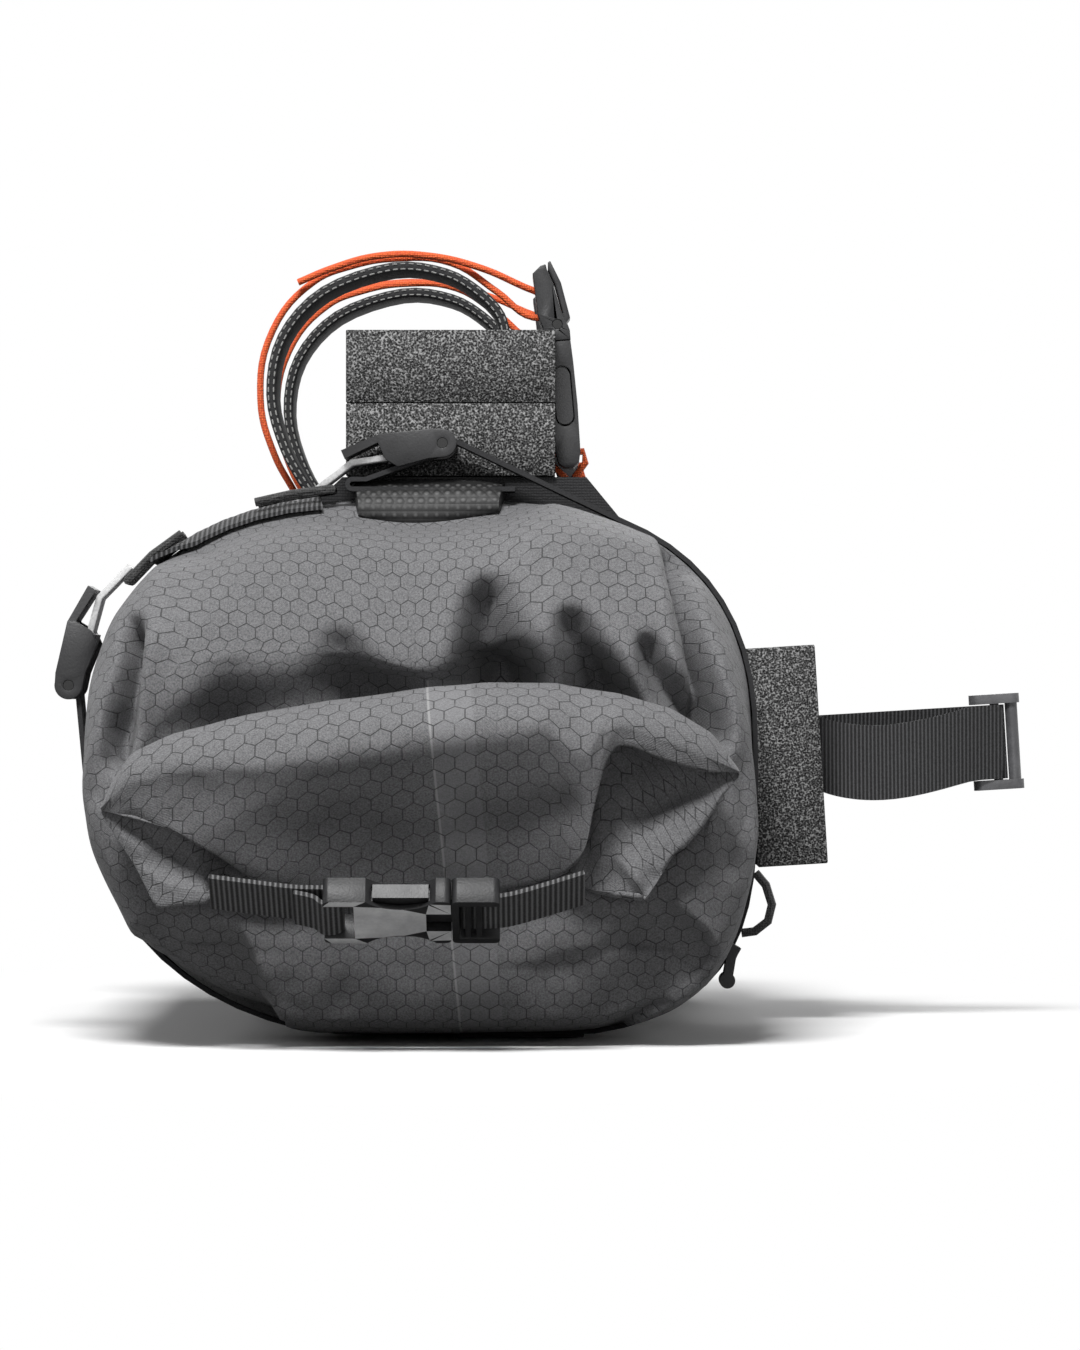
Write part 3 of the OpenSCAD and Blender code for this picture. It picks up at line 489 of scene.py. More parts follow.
# %% Distance from a drawn line
def line_frame(flat, line):
    """For points in X and Z: distance to the line, way along it from 0 to 1, side (+1 is left)."""
    line = np.array(line, float)
    steps = norm(np.diff(line, axis=0), axis=1)
    best = np.full(len(flat), 1e9)
    along = np.zeros(len(flat))
    side = np.ones(len(flat))
    start = 0.0
    for a, b, step in zip(line[:-1], line[1:], steps):
        d = (b - a) / step
        t = np.clip((flat - a) @ d, 0, step)
        offset = flat - (a + t[:, None] * d)
        distance = norm(offset, axis=1)
        nearer = distance < best
        best[nearer] = distance[nearer]
        along[nearer] = ((start + t) / steps.sum())[nearer]
        side[nearer] = np.sign(d[0] * offset[:, 1] - d[1] * offset[:, 0])[nearer]
        start += step
    return best, along, side


# %% Valley, overlap and slack
SHOULDER = 0.12
SHOULDER_AT, SHOULDER_WIDE = 1.9, 0.8
CREST = 0.4
VALLEY_START, OVERLAP_START = 0.15, 0.2


def valley(flat, line, depth, wide):
    """Push of a soft valley; depth and half width are given at the line's two ends."""
    distance, along, _ = line_frame(flat, line)
    deep = np.interp(along, (0, 1), depth)
    r = distance / np.interp(along, (0, 1), wide)
    shape = hump(r, 0, 1) - SHOULDER * hump(r, SHOULDER_AT, SHOULDER_WIDE)
    return -deep * grows(along, 0, VALLEY_START) * shape


def overlap(flat, line, depth, wide, high_side):
    """Push of a sharp fold: a crest on the line and, on its low side, a wall into a trough."""
    distance, along, side = line_frame(flat, line)
    deep = np.interp(along, (0, 1), depth)
    s = distance * side * high_side / np.interp(along, (0, 1), wide)
    crest = CREST * np.exp(-1.2 * np.maximum(s, 0)) * np.exp(2 * np.minimum(s, 0))
    trough = -np.maximum(-s, 0) * np.exp(1 + np.minimum(s, 0))
    return deep * grows(along, 0, OVERLAP_START) * (crest + trough)


def folded(flat, valleys, overlaps):
    return sum(valley(flat, *v) for v in valleys) + sum(overlap(flat, *o) for o in overlaps)


def ripple(co, scale, seed):
    return np.array([noise.noise(Vector(p) * scale + Vector((seed, seed, seed))) for p in co])


# %% [markdown]
# ## The dip beside the compression straps
# Outside each compression strap the bag is not full, so its top and shoulder sink a little, with
# the webbing and the sleeve sewn on them. Each piece could be bent by hand, but one formula for
# all of them keeps them in touch.

# %% Dip of the ends
AXIS_Z = 90
EDGE_DIP = 4.6
DIP_FROM_Y, DIP_LENGTH, DIP_MOST = 98, 19, 1.2
SLEEVE_DIP = 0.6


def out_of_axis(co):
    """Directions in X and Z away from the bag's long axis."""
    radial = np.stack([co[:, 0], 0 * co[:, 0], co[:, 2] - AXIS_Z], axis=1)
    return radial / (norm(radial, axis=1, keepdims=True) + 1e-9)


def edge_dip(co):
    """How far each point of the bag's ends, or of a piece sewn on them, goes down."""
    x, y, z = co.T
    out = np.clip((np.abs(y) - DIP_FROM_Y) / DIP_LENGTH, 0, DIP_MOST) ** 2
    over = grows(x, -84, 10) * grows(-x, -42, 14) * grows(z, 115, 15)
    under_sleeve = 1 + SLEEVE_DIP * hump(x, -4, 24)
    return -out_of_axis(co) * (EDGE_DIP * out * over * under_sleeve)[:, None]


def dip_down(obj):
    co = points_of(obj)
    move_points(obj, co + edge_dip(co))


# %% [markdown]
# ## Sheets of cloth
# Each soft shell is one sheet of cloth, as it is cut on the table: a flat grid is wrapped round
# and closed at its ends. The sheet's own flat measure goes with it as a UV map in metres, so
# the woven honeycomb keeps its size and runs over the folds as it does on the real bag.


# %% A sheet wrapped round
def wrapped_sheet(name, shape, cloth):
    """shape[i, j] is a point in mm, i round the shell and j along it; cloth gives its UV in mm."""
    around, along = shape.shape[0] - 1, shape.shape[1] - 1
    bpy.ops.object.select_all(action="DESELECT")
    bpy.ops.mesh.primitive_grid_add(x_subdivisions=around, y_subdivisions=along, size=2)
    obj = bpy.context.object
    obj.name = name
    flat = vertex_values(obj, "co")
    i = np.rint((flat[:, 0] + 1) / 2 * around).astype(int)
    j = np.rint((flat[:, 1] + 1) / 2 * along).astype(int)
    loops = np.empty(len(obj.data.loops), int)
    obj.data.loops.foreach_get("vertex_index", loops)
    starts = np.array([p.loop_start for p in obj.data.polygons])
    row = np.repeat(np.minimum.reduceat(j[loops], starts), 4)
    layers = obj.data.uv_layers
    while layers:
        layers.remove(layers[0])
    layers.new(name="cloth").data.foreach_set("uv", (cloth(i[loops], j[loops], row) * MM).ravel())
    move_points(obj, shape[i, j])
    close_ends(obj)
    print(name, len(obj.data.polygons), "faces")
    return obj


def close_ends(obj):
    """Sew the long edges together, and close the two open ends with flat faces."""
    only(obj)
    bpy.ops.object.mode_set(mode="EDIT")
    bpy.ops.mesh.select_all(action="SELECT")
    bpy.ops.mesh.remove_doubles(threshold=0.00001)
    bpy.ops.mesh.select_all(action="DESELECT")
    bpy.ops.mesh.select_mode(type="EDGE")
    bpy.ops.mesh.select_non_manifold()
    bpy.ops.mesh.edge_face_add()
    bpy.ops.mesh.quads_convert_to_tris(quad_method="BEAUTY", ngon_method="BEAUTY")
    bpy.ops.mesh.select_all(action="SELECT")
    bpy.ops.mesh.normals_make_consistent(inside=False)
    bpy.ops.mesh.select_mode(type="VERT")
    bpy.ops.object.mode_set(mode="OBJECT")


# %% Cloth under pressure
CLOTH_FRAMES = 20


def swell(obj, pressure, cap, held):
    """Cloth with pressure; a point moves at most cap, and held points stay."""
    start = points_of(obj)
    group = obj.vertex_groups.new(name="held")
    for index in np.flatnonzero(held > 0.01):
        group.add([int(index)], float(held[index]), "REPLACE")
    cloth = obj.modifiers.new("Cloth", "CLOTH")
    settings = cloth.settings
    settings.use_pressure = True
    settings.uniform_pressure_force = pressure
    settings.effector_weights.gravity = 0
    settings.vertex_group_mass = "held"
    settings.tension_stiffness = 15
    settings.bending_stiffness = 0.6
    cloth.collision_settings.use_collision = False
    cloth.point_cache.frame_start = 1
    cloth.point_cache.frame_end = CLOTH_FRAMES
    for number in range(1, CLOTH_FRAMES + 1):
        scene.frame_set(number)
    apply_modifiers(obj)
    scene.frame_set(1)
    moved = points_of(obj) - start
    length = norm(moved, axis=1, keepdims=True)
    moved *= np.minimum(1, cap / np.maximum(length, 1e-6))
    move_points(obj, start + moved)
    obj.vertex_groups.clear()
    print(obj.name, "swelled by up to", round(float(norm(moved, axis=1).max()), 1), "mm")


def subdivided(obj, levels=1, kind="CATMULL_CLARK"):
    modifier = obj.modifiers.new("Subdivision", "SUBSURF")
    modifier.levels = modifier.render_levels = levels
    modifier.subdivision_type = kind
    return apply_modifiers(obj)


def smooth(obj, angle=None):
    only(obj)
    if angle is None:
        bpy.ops.object.shade_smooth()
    else:
        bpy.ops.object.shade_smooth_by_angle(angle=angle)


# %% [markdown]
# ## The roll's outline
# The mouth of the bag is rolled over a batten and its corners are folded under. Seen from the
# end, the outer layer is a lens with two tips, and the folded corners hang below it. It could be
# sculpted, but curves over X can be followed by both the roll and the gathered end.

# %% Curves of the roll
ROLL_Y = 184.3
ROLL_X0, ROLL_X1 = -97.5, 99.5


def curve(*points):
    x, value = np.array(points, float).T
    return lambda at: np.interp(at, x, value)


roll_top = curve(
    (-97.5, 75), (-93.8, 83.7), (-88, 92.3), (-75, 97.8), (-51.6, 104), (-28.5, 108.2),
    (3.5, 112.6), (21, 114), (42.8, 113.7), (61.7, 110.5), (77.7, 105.8), (90.7, 98.1),
    (99.5, 86.5))
lens_low = curve(
    (-97.5, 74), (-86, 70.5), (-73.9, 66.7), (-63, 60), (-47, 49.5), (-30, 47.5), (0, 47.5),
    (25, 49), (44, 53), (50, 58), (53.2, 64), (54.2, 72), (55, 80), (57, 88), (61, 94.5), (66, 94),
    (70.5, 92), (78, 89.3), (88, 86.2), (99.5, 85.5))
fold_low = curve(
    (-97.5, 73.2), (-87.4, 56.2), (-80.3, 43.4), (-64.4, 46.1), (-62.5, 48.5), (-60, 53), (-55, 51),
    (-47, 48.5), (-30, 46.5), (0, 46.5), (25, 48), (44, 51), (50, 50), (54, 47.4), (60, 46),
    (71, 45), (73, 48.5), (75, 52), (78, 57), (81.8, 62.7), (88, 69.7), (99.5, 84.5))
nose_out = curve(
    (-97.5, 1.5), (-88, 6.5), (-66, 13), (-36, 17.5), (0, 19), (35, 19), (62, 15), (81, 9.5),
    (99.5, 1.5))
lens_out = curve(
    (-97.5, 0), (-86, 4), (-74, 6), (-63, 5), (-47, -2), (-30, -7), (0, -9), (25, -9), (44, -5),
    (50, 3), (54, 10), (57, 12), (61, 12), (66, 11.5), (78, 8), (88, 5), (99.5, 0))
nose_at = curve(
    (-97.5, 0.5), (-60, 0.66), (0, 0.75), (40, 0.76), (54, 0.55), (60, 0.35), (99.5, 0.3))
fold_in = curve(
    (-97.5, -1), (-86, 0), (-74, -2), (-63, -6), (-58, -9), (-50, -9), (-44, -6), (-30, -8),
    (0, -10), (25, -10), (44, -7), (50, -5), (54, -9), (60, -13), (69, -13), (77, -9), (85, -4),
    (99.5, -1))
fold_out = curve(
    (-97.5, -1), (-87, -0.5), (-80, 1), (-64, 3), (-62, -3), (-58, -9), (-50, -9), (-44, -7),
    (-30, -9), (0, -11), (25, -11), (44, -7), (50, -3), (54, -2), (60, 0), (68, 3), (75, 3),
    (82, 2), (88, 1), (99.5, -0.5))
back_in = curve(
    (-97.5, 1.5), (-88, 9), (-66, 17), (-36, 21), (0, 21.5), (35, 21.5), (62, 18), (81, 12),
    (99.5, 1.5))
print("roll is", roll_top(21) - fold_low(21), "mm high at its middle")

# %% [markdown]
# ## The cloth body
# The bag is soft cloth over a load: it swells between its compression straps and gathers into the
# rolled mouths. A lofted shell alone would look like a plastic tank. So one sheet is lofted from
# mouth to mouth, blown up a little as cloth, held fast under the straps, and then folded.

# %% Body: the mouth that the end gathers into
AROUND = 180
MOUTH_X = 0.89
MOUTH_LOW_X = (-97, 48)
MOUTH_IN = 6
MOUTH_LEAST = 3
angles = np.linspace(0, 360, AROUND + 1)
full = np.array([section(t) for t in angles])
rise = np.sin(np.radians(angles))
mouth_x = full[:, 0] * MOUTH_X
mouth_top, mouth_low = roll_top(mouth_x), lens_low(np.clip(mouth_x, *MOUTH_LOW_X))
mouth_half = np.maximum((mouth_top - mouth_low) / 2 - MOUTH_IN, MOUTH_LEAST)
mouth_z = (mouth_top + mouth_low) / 2 + mouth_half * np.sign(rise) * np.abs(rise) ** 0.5
mouth = np.stack([mouth_x, mouth_z], axis=1)
print("mouth is", round(float(np.ptp(mouth_x))), "mm wide")

# %% Body: rows of the sheet
CAP_STEPS = 26
STRAP_STEPS = 4
MIDDLE_STEPS = 19
PUFF_TOP = 1.35
PUFF_LOW = 1.12


def row_at(flat, y):
    """One row of the sheet, from its points in X and Z and their places along the bag."""
    return np.column_stack([flat[:, 0], np.broadcast_to(y, AROUND + 1), flat[:, 1]])


squareness = np.interp(rise, (-0.6, 0.3), (5, 2.15))
puff = PUFF_LOW + (PUFF_TOP - PUFF_LOW) * np.maximum(rise, 0)
rows = []
for a in np.linspace(90, 0, CAP_STEPS + 1):
    f = max(math.cos(math.radians(a)), 0) ** (2 / squareness)
    y = BODY_HALF + (END_LEN + 1) * np.sin(np.radians(a * puff)) ** (2 / squareness)
    rows.append(row_at(mouth + f[:, None] * (full - mouth), y))
rows += [row_at(full, y) for y in np.linspace(BODY_HALF, STRAP_Y, STRAP_STEPS)[1:]]
cap_rows = len(rows) - 1
rows += [row_at(full, y) for y in np.linspace(STRAP_Y, 0, MIDDLE_STEPS)[1:]]
half = np.array(rows)
body_shape = np.concatenate([half * (1, -1, 1), half[-2::-1]]).transpose(1, 0, 2)
body_shape[-1] = body_shape[0]
print("body sheet", body_shape.shape)

# %% Body: the sheet's flat measure
outward = full - mouth
outward /= norm(outward, axis=1, keepdims=True)


def way_along(points):
    """Way from the first row of points to each row."""
    steps = norm(np.diff(points, axis=0), axis=-1)
    return np.concatenate([0 * steps[:1], np.cumsum(steps, axis=0)])


cap_uv = mouth[None] + way_along(half)[:, :, None] * outward[None]
cap_uv = np.concatenate([cap_uv, cap_uv[-2::-1]]).transpose(1, 0, 2)
way_round = way_along(full)
print("the sheet is", round(float(way_round[-1])), "mm round")
tube_uv = np.stack([np.broadcast_to(way_round[:, None], body_shape.shape[:2]),
                    body_shape[:, :, 1]], axis=2)


def body_cloth(i, j, row):
    on_cap = (row < cap_rows) | (row >= body_shape.shape[1] - 1 - cap_rows)
    return np.where(on_cap[:, None], cap_uv[i, j], tube_uv[i, j])


body = wrapped_sheet("bag_cloth", body_shape, body_cloth)

# %% Body: blown up as cloth
BODY_PRESSURE, BODY_CAP = 4.0, 3.0
co = points_of(body)
from_middle = np.abs(co[:, 1])
near_strap = hump(from_middle, STRAP_Y, 11, 4)
near_mount = (np.abs(from_middle - MOUNT_Y) < MOUNT_HALF) & (co[:, 2] > 150)
near_base = co[:, 2] < 8
near_back = (co[:, 0] > 88) & (from_middle < 96)
held = np.maximum(near_strap, 1.0 * (near_mount | near_base | near_back))
swell(body, BODY_PRESSURE, BODY_CAP, held)
subdivided(body)

# %% Body: folds of the gathered ends, in X and Z
VALLEYS = [
    ([(24, 156), (24, 143), (25, 127), (26, 106)], (10, 42), (4.4, 11)),
    ([(46.5, 138), (49, 128), (53, 117), (57, 102)], (7, 28), (3.6, 9)),
    ([(70.5, 129), (73, 119), (77, 111.5), (83, 103)], (8, 20), (2.8, 4.6)),
    ([(-31, 138), (-26, 125), (-19, 112), (-14, 103)], (4, 17), (5.6, 11)),
    ([(-62, 124), (-60, 112), (-58, 98)], (1, 8), (7, 10)),
    ([(-88, 135), (-89.8, 121), (-92, 105), (-94, 90)], (12, 14), (2.8, 3.8)),
    ([(77, 165), (81, 152), (84.3, 139), (87, 126), (89, 112), (90.5, 98)], (14, 22), (2.8, 5)),
    ([(-95, 90), (-92, 80), (-90, 70)], (1, 3), (4, 5)),
    ([(56, 40), (52, 33), (46, 27)], (1, 2.2), (5, 7)),
    ([(-20, 40), (-22, 28), (-24, 16)], (1, 1.5), (8, 10)),
    ([(24, 38), (26, 26), (27, 14)], (1, 1.2), (8, 10)),
    ([(96, 82), (98, 70), (97, 58)], (1, 2.4), (3, 4)),
]
OVERLAPS = [
    ([(73, 166), (77, 154), (80.2, 142), (82.5, 131), (84.5, 118), (87, 96)], (5, 8), (4, 5), -1),
    ([(-84.2, 134), (-85.6, 118), (-87, 104), (-89.5, 88)], (4, 6), (3.5, 4.5), 1),
    ([(-55, 41), (-50, 28), (-44, 11)], (5, 11), (12, 6), 1),
    ([(-80, 44), (-89.4, 36.7), (-89, 30), (-80, 18)], (6, 4), (10, 8), -1),
    ([(74, 52), (83, 43), (90.8, 36), (94.2, 28.6), (90, 20), (80, 14)], (10, 6), (14, 10), 1),
]


# %% Body: moving its points
FOLD_FROM_Y, FOLD_LENGTH = 116, 12
LEAN_OUT = 0.6
FLOOR_GAP = 2.75


def fold_body(obj):
    co = points_of(obj)
    nrm = vertex_values(obj, "normal")
    x, y, z = co.T
    end = grows(np.abs(y), FOLD_FROM_Y, FOLD_LENGTH)
    push = folded(co[:, [0, 2]], VALLEYS, OVERLAPS)
    tuck = hump(np.maximum(z - roll_top(x), 0), 0, 8)
    tuck *= np.interp(x, (-92, -80, -30, 60, 92), (0, 4, 4, 3, 0))
    push -= tuck * (z > 80)
    free = 1 - hump(np.abs(y), STRAP_Y, 12, 4)
    free *= 1 - hump(np.abs(y), MOUNT_Y, MOUNT_HALF, 4) * (z > 140)
    free *= grows(z, 6, 20)
    slack = 1.6 * ripple(co, 0.024, 3.0) + 0.5 * ripple(co, 0.07, 9.0)
    along = (1 - LEAN_OUT) * nrm
    along[:, 1] += LEAN_OUT * np.sign(y)
    co = co + along * (push * end)[:, None] + nrm * (slack * free)[:, None] + edge_dip(co)
    co[:, 2] = np.maximum(co[:, 2], FLOOR_GAP)
    move_points(obj, co)


fold_body(body)
ease = body.modifiers.new("Smooth", "SMOOTH")
ease.factor = 0.5
ease.iterations = 1
apply_modifiers(body)
smooth(body)
set_piece(body, ripstop, "bag", "ripstop", "bag_shell")
print("body cloth:", len(body.data.polygons), "faces")

# %% [markdown]
# ## The rolled closures
# Each roll is a sheet wrapped round its batten. Down its face the cloth comes over a nose, turns
# in below it, and steps down at the lens's lower edge to the corners folded under. Round the
# back it narrows into the neck of the bag. It could be rolled in many layers, but only the
# outer one is seen.

# %% Roll: rows of the sheet
COLUMNS = 132
LENS_ROWS = 30
FOLD_ROWS = 14
BACK_ROWS = 20
ROLL_STRETCH = 0.9


def roll_profile(x):
    """Depth out from the roll's middle and height, down the face and up the back, at one X."""
    top, low, foot = roll_top(x), lens_low(x), min(fold_low(x), lens_low(x) - 0.6)
    nose, edge, t0 = nose_out(x), lens_out(x), nose_at(x)
    line = []
    for t in np.linspace(1, 0, LENS_ROWS + 1):
        if t > t0:
            depth = nose * (1 - ((t - t0) / (1 - t0)) ** 2.2)
        else:
            depth = nose + (edge - nose) * ((t0 - t) / t0) ** 0.9
        line.append((depth, low + t * (top - low)))
    lift = min(1.5, 0.2 * (top - low))
    line.append((edge + 0.6 * (fold_in(x) - edge), low + lift))
    for q in np.linspace(0.08, 1, FOLD_ROWS):
        depth = fold_in(x) + (fold_out(x) - fold_in(x)) * q ** 0.9
        line.append((depth, low + lift * (1 - q) + q * (foot - low)))
    bottom = line[-1]
    for angle in np.linspace(-90, 90, BACK_ROWS)[1:]:
        lean = (1 + math.sin(math.radians(angle))) / 2
        back = back_in(x) * max(math.cos(math.radians(angle)), 0) ** 0.8
        line.append((bottom[0] * (1 - lean) - back, bottom[1] + lean * (top - bottom[1])))
    return line


x_at = np.linspace(ROLL_X0, ROLL_X1, COLUMNS + 1)
profiles = np.array([roll_profile(x) for x in x_at]).transpose(1, 0, 2)
profiles[-1] = profiles[0]
roll_reach = way_along(profiles)
print("roll sheet", profiles.shape)

# %% Roll: small folds on it, in X and Z
ROLL_VALLEYS = [
    ([(64, 70), (72, 75), (84, 81)], (3, 2.5), (4.5, 4)),
    ([(-92, 72), (-82, 66), (-72, 60)], (1.5, 2), (3, 3)),
    ([(-60, 70), (-34, 66), (-10, 62)], (0.6, 1.2), (8, 9)),
    ([(10, 66), (30, 68), (46, 74)], (0.6, 1.6), (8, 7)),
    ([(73, 56), (70, 47)], (1.5, 2.5), (2.4, 2.4)),
]
ROLL_OVERLAPS = [
    ([(60, 61), (65, 55), (69.9, 49.5), (70.5, 44.6)], (2, 3.5), (5, 5), 1),
    ([(-88, 58), (-78, 52), (-66, 49)], (1.5, 2.5), (4, 4), -1),
    ([(97, 83), (88, 70), (82, 63)], (1, 2), (3, 3), -1),
]


# %% Roll: both closures
ROLL_PRESSURE, ROLL_CAP = 3.0, 1.0
NECK_Y = 170
FACE_Y = 172
TIP_X = 97


def fold_roll(obj, side):
    co = points_of(obj)
    nrm = vertex_values(obj, "normal")
    outer = grows(np.abs(co[:, 1]), FACE_Y, 5) * grows(nrm[:, 1] * side, -0.3, 0.4)
    tips = grows(-np.abs(co[:, 0]), -TIP_X, 10)
    push = folded(co[:, [0, 2]], ROLL_VALLEYS, ROLL_OVERLAPS)
    push += (0.9 * ripple(co, 0.03, 5.0 + side) + 0.35 * ripple(co, 0.09, 2.0)) * tips
    move_points(obj, co + nrm * (push * outer)[:, None])


def roll_cloth(i, j, row):
    return np.stack([x_at[j], -roll_reach[i, j]], axis=1) * ROLL_STRETCH


for word, side in SIDES:
    sheet = np.empty((*profiles.shape[:2], 3))
    sheet[:, :, 0] = x_at
    sheet[:, :, 1] = side * (ROLL_Y + profiles[:, :, 0])
    sheet[:, :, 2] = profiles[:, :, 1]
    roll = wrapped_sheet(f"{word}_roll_cloth", sheet, roll_cloth)
    swell(roll, ROLL_PRESSURE, ROLL_CAP, 1.0 * (np.abs(points_of(roll)[:, 1]) < NECK_Y))
    subdivided(roll)
    fold_roll(roll, side)
    smooth(roll)
    set_piece(roll, ripstop, "bag", "ripstop", f"{word}_roll")

# %% [markdown]
# ## Webbing on the shoulder
# Grey ribbed webbing is sewn over the front shoulder, and holds the loops that the hooks catch.
# It could be a new strip, but a fine copy of its solid bends with the cloth just as well.

# %% Shoulder webbing
LIFT, LIFT_AT_END = 0.3, 1.3
shoulder = copy_node("hook_webbings", "shoulder_webbings")
subdivided(shoulder, 2, "SIMPLE")
dip_down(shoulder)
co = points_of(shoulder)
lift = LIFT + LIFT_AT_END * grows(np.abs(co[:, 1]), DIP_FROM_Y, 18)
move_points(shoulder, co + out_of_axis(co) * lift[:, None])
set_piece(shoulder, grey_webbing, "bag", "grey_webbing", "hook_webbings")
print("shoulder webbing:", len(shoulder.data.polygons), "faces")

# %% [markdown]
# ## Sleeves of the compression straps
# A flat sleeve of dotted mesh takes the loose end of each strap. Its solid is a slab, which a
# bevel would not make soft, so it is a sheet again, wrapped round a flat oval that is fatter in
# its middle and towards the bag's end.

# %% Strap sleeves
SLEEVE_X = (-21.7, 26.7)
SLEEVE_Y = (89.5, 119)
SLEEVE_Z = 175.4
SLEEVE_ROUND, SLEEVE_ALONG = 33, 21
SLEEVE_THIN, SLEEVE_BULGE = 2.1, 1.5
SLEEVE_SWELL = 1.2
round_it = np.linspace(0, 2 * math.pi, SLEEVE_ROUND)
fat = SLEEVE_THIN + SLEEVE_BULGE * np.sin(np.linspace(0, math.pi, SLEEVE_ALONG)) ** 0.6
across = sum(SLEEVE_Y) / 2 + (SLEEVE_Y[1] - SLEEVE_Y[0]) / 2 * np.cos(round_it)
thick = np.sign(np.sin(round_it)) * np.abs(np.sin(round_it)) ** 0.7
thick *= 1 + SLEEVE_SWELL * grows(across, STRAP_Y, 15)
for word, side in SIDES:
    sheet = np.empty((SLEEVE_ROUND, SLEEVE_ALONG, 3))
    sheet[:, :, 0] = np.linspace(*SLEEVE_X, SLEEVE_ALONG)
    sheet[:, :, 1] = side * across[:, None]
    sheet[:, :, 2] = SLEEVE_Z + thick[:, None] * fat
    sheet[-1] = sheet[0]
    sleeve = wrapped_sheet(f"{word}_sleeve", sheet, lambda i, j, row: np.stack([i, j], axis=1))
    dip_down(sleeve)
    smooth(sleeve, 0.9)
    set_piece(sleeve, sleeve_mesh, "bag", "black_webbing", "strap_sleeves")
print("sleeves made")

# %% [markdown]
# ## Foam spacers
# The spacers are blocks cut from closed-cell foam, with slots for the strap. A block could be
# modelled again, but its edges are only slightly worn, so a small bevel on a copy is enough.
# The same tool eases the moulded parts further on.

# %% Foam blocks
FOAM_EDGE = 0.0008


def eased_copy(node, name, width, mat, slot, on="bag", segments=2, angle=0.6):
    obj = copy_node(node, name)
    edge = obj.modifiers.new("Bevel", "BEVEL")
    edge.width = width
    edge.segments = segments
    edge.limit_method = "ANGLE"
    edge.angle_limit = angle
    edge.use_clamp_overlap = True
    apply_modifiers(obj)
    smooth(obj, 0.6)
    return set_piece(obj, mat, on, slot, node)


for node, name in (("left_foam_pads", "left_foam_blocks"), ("right_foam_pads", "right_foam_blocks"),
                   ("head_spacer", "head_foam_block")):
    block = eased_copy(node, name, FOAM_EDGE, foam, "foam")
print("foam blocks eased")

# %% [markdown]
# ## Orange pull cords
# Each cord comes up along the padded strap, passes through the plug's two holes and ends free.
# It could be simulated, but its way through the holes is fixed, so it is a round curve along
# the route of its solid.

# %% Pull cords
CORD_ROUTE = [
    (-42, -66, 175), (-49, -66, 188), (-53.5, -66, 206), (-49.5, -66, 228.5), (-36, -66, 244.5),
    (-24, -66, 249.5), (-10, -66, 252), (9, -67, 250.5), (24, -68, 241), (36, -68, 232.6),
    (39.2, -68, 233.4), (41, -68, 235.4), (40.8, -68, 238.4), (38.2, -68, 240.3), (33, -69, 242.5),
    (19, -71, 248.5), (2, -72, 252.5), (-15, -72, 252.5), (-30, -71, 248.5), (-41, -70, 244)]
CORD_R = 1.15
for word, side in SIDES:
    route = [Vector((x, -side * y, z)) * MM for x, y, z in CORD_ROUTE]
    line = bpy.data.curves.new(f"{word}_pull_cord", "CURVE")
    line.dimensions = "3D"
    line.bevel_depth = CORD_R * MM
    line.bevel_resolution = 3
    line.resolution_u = 6
    line.use_fill_caps = True
    spline = line.splines.new("BEZIER")
    spline.bezier_points.add(len(route) - 1)
    for point, spot in zip(spline.bezier_points, route):
        point.co = spot
        point.handle_left_type = point.handle_right_type = "AUTO"
    cord = placed(f"{word}_pull_cord", line)
    line.materials.append(orange_braid)
    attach(cord, f"{word}_bar_release")
    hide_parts(f"{word}_bar_cord")

# %% [markdown]
# ## Stitching on the padded straps
# Two rows of white dashes run along each side of a padded strap. They could be a pattern, but
# thread stands proud of the cloth. One dash is modelled as a rounded stick and copied along the
# strap's side, so that the row bends with it.

# %% Places along the strap
STRAP_CURVE = [
    (-37.6, 173.4), (-46, 188), (-50.8, 206.5), (-47, 226), (-33, 241.5), (-10, 249.5), (8, 247.5),
    (20, 240.5), (26.6, 233), (28.6, 225)]


def through(points, count):
    """Points of a smooth line through the given ones."""
    p = [np.array(q, float) for q in points]
    out = []
    for i in range(len(p) - 1):
        a, b, c, d = p[max(i - 1, 0)], p[i], p[i + 1], p[min(i + 2, len(p) - 1)]
        for t in np.arange(count) / count:
            bend = (2 * a - 5 * b + 4 * c - d) * t ** 2 + (3 * b - a - 3 * c + d) * t ** 3
            out.append(0.5 * (2 * b + (c - a) * t + bend))
    return np.array(out + [p[-1]])


def even_places(line, pitch):
    """Points at an even pitch along a line, each with the line's direction."""
    reach = way_along(line)
    places = []
    for s in np.arange(pitch, reach[-1] - pitch, pitch):
        here, ahead = [np.array([np.interp(at, reach, line[:, k]) for k in range(2)])
                       for at in (s, s + 0.5)]
        places.append((here, (ahead - here) / norm(ahead - here)))
    return places


stitch_places = even_places(through(STRAP_CURVE, 8), 2.7)
print("stitches in a row:", len(stitch_places))

# %% Stitches
STRAP_T = 3.2
STRAP_EDGE = 18.0
DASH_R = 0.24
DASH_LONGER = 0.6
ROW_IN = 0.75
PROUD = 0.12
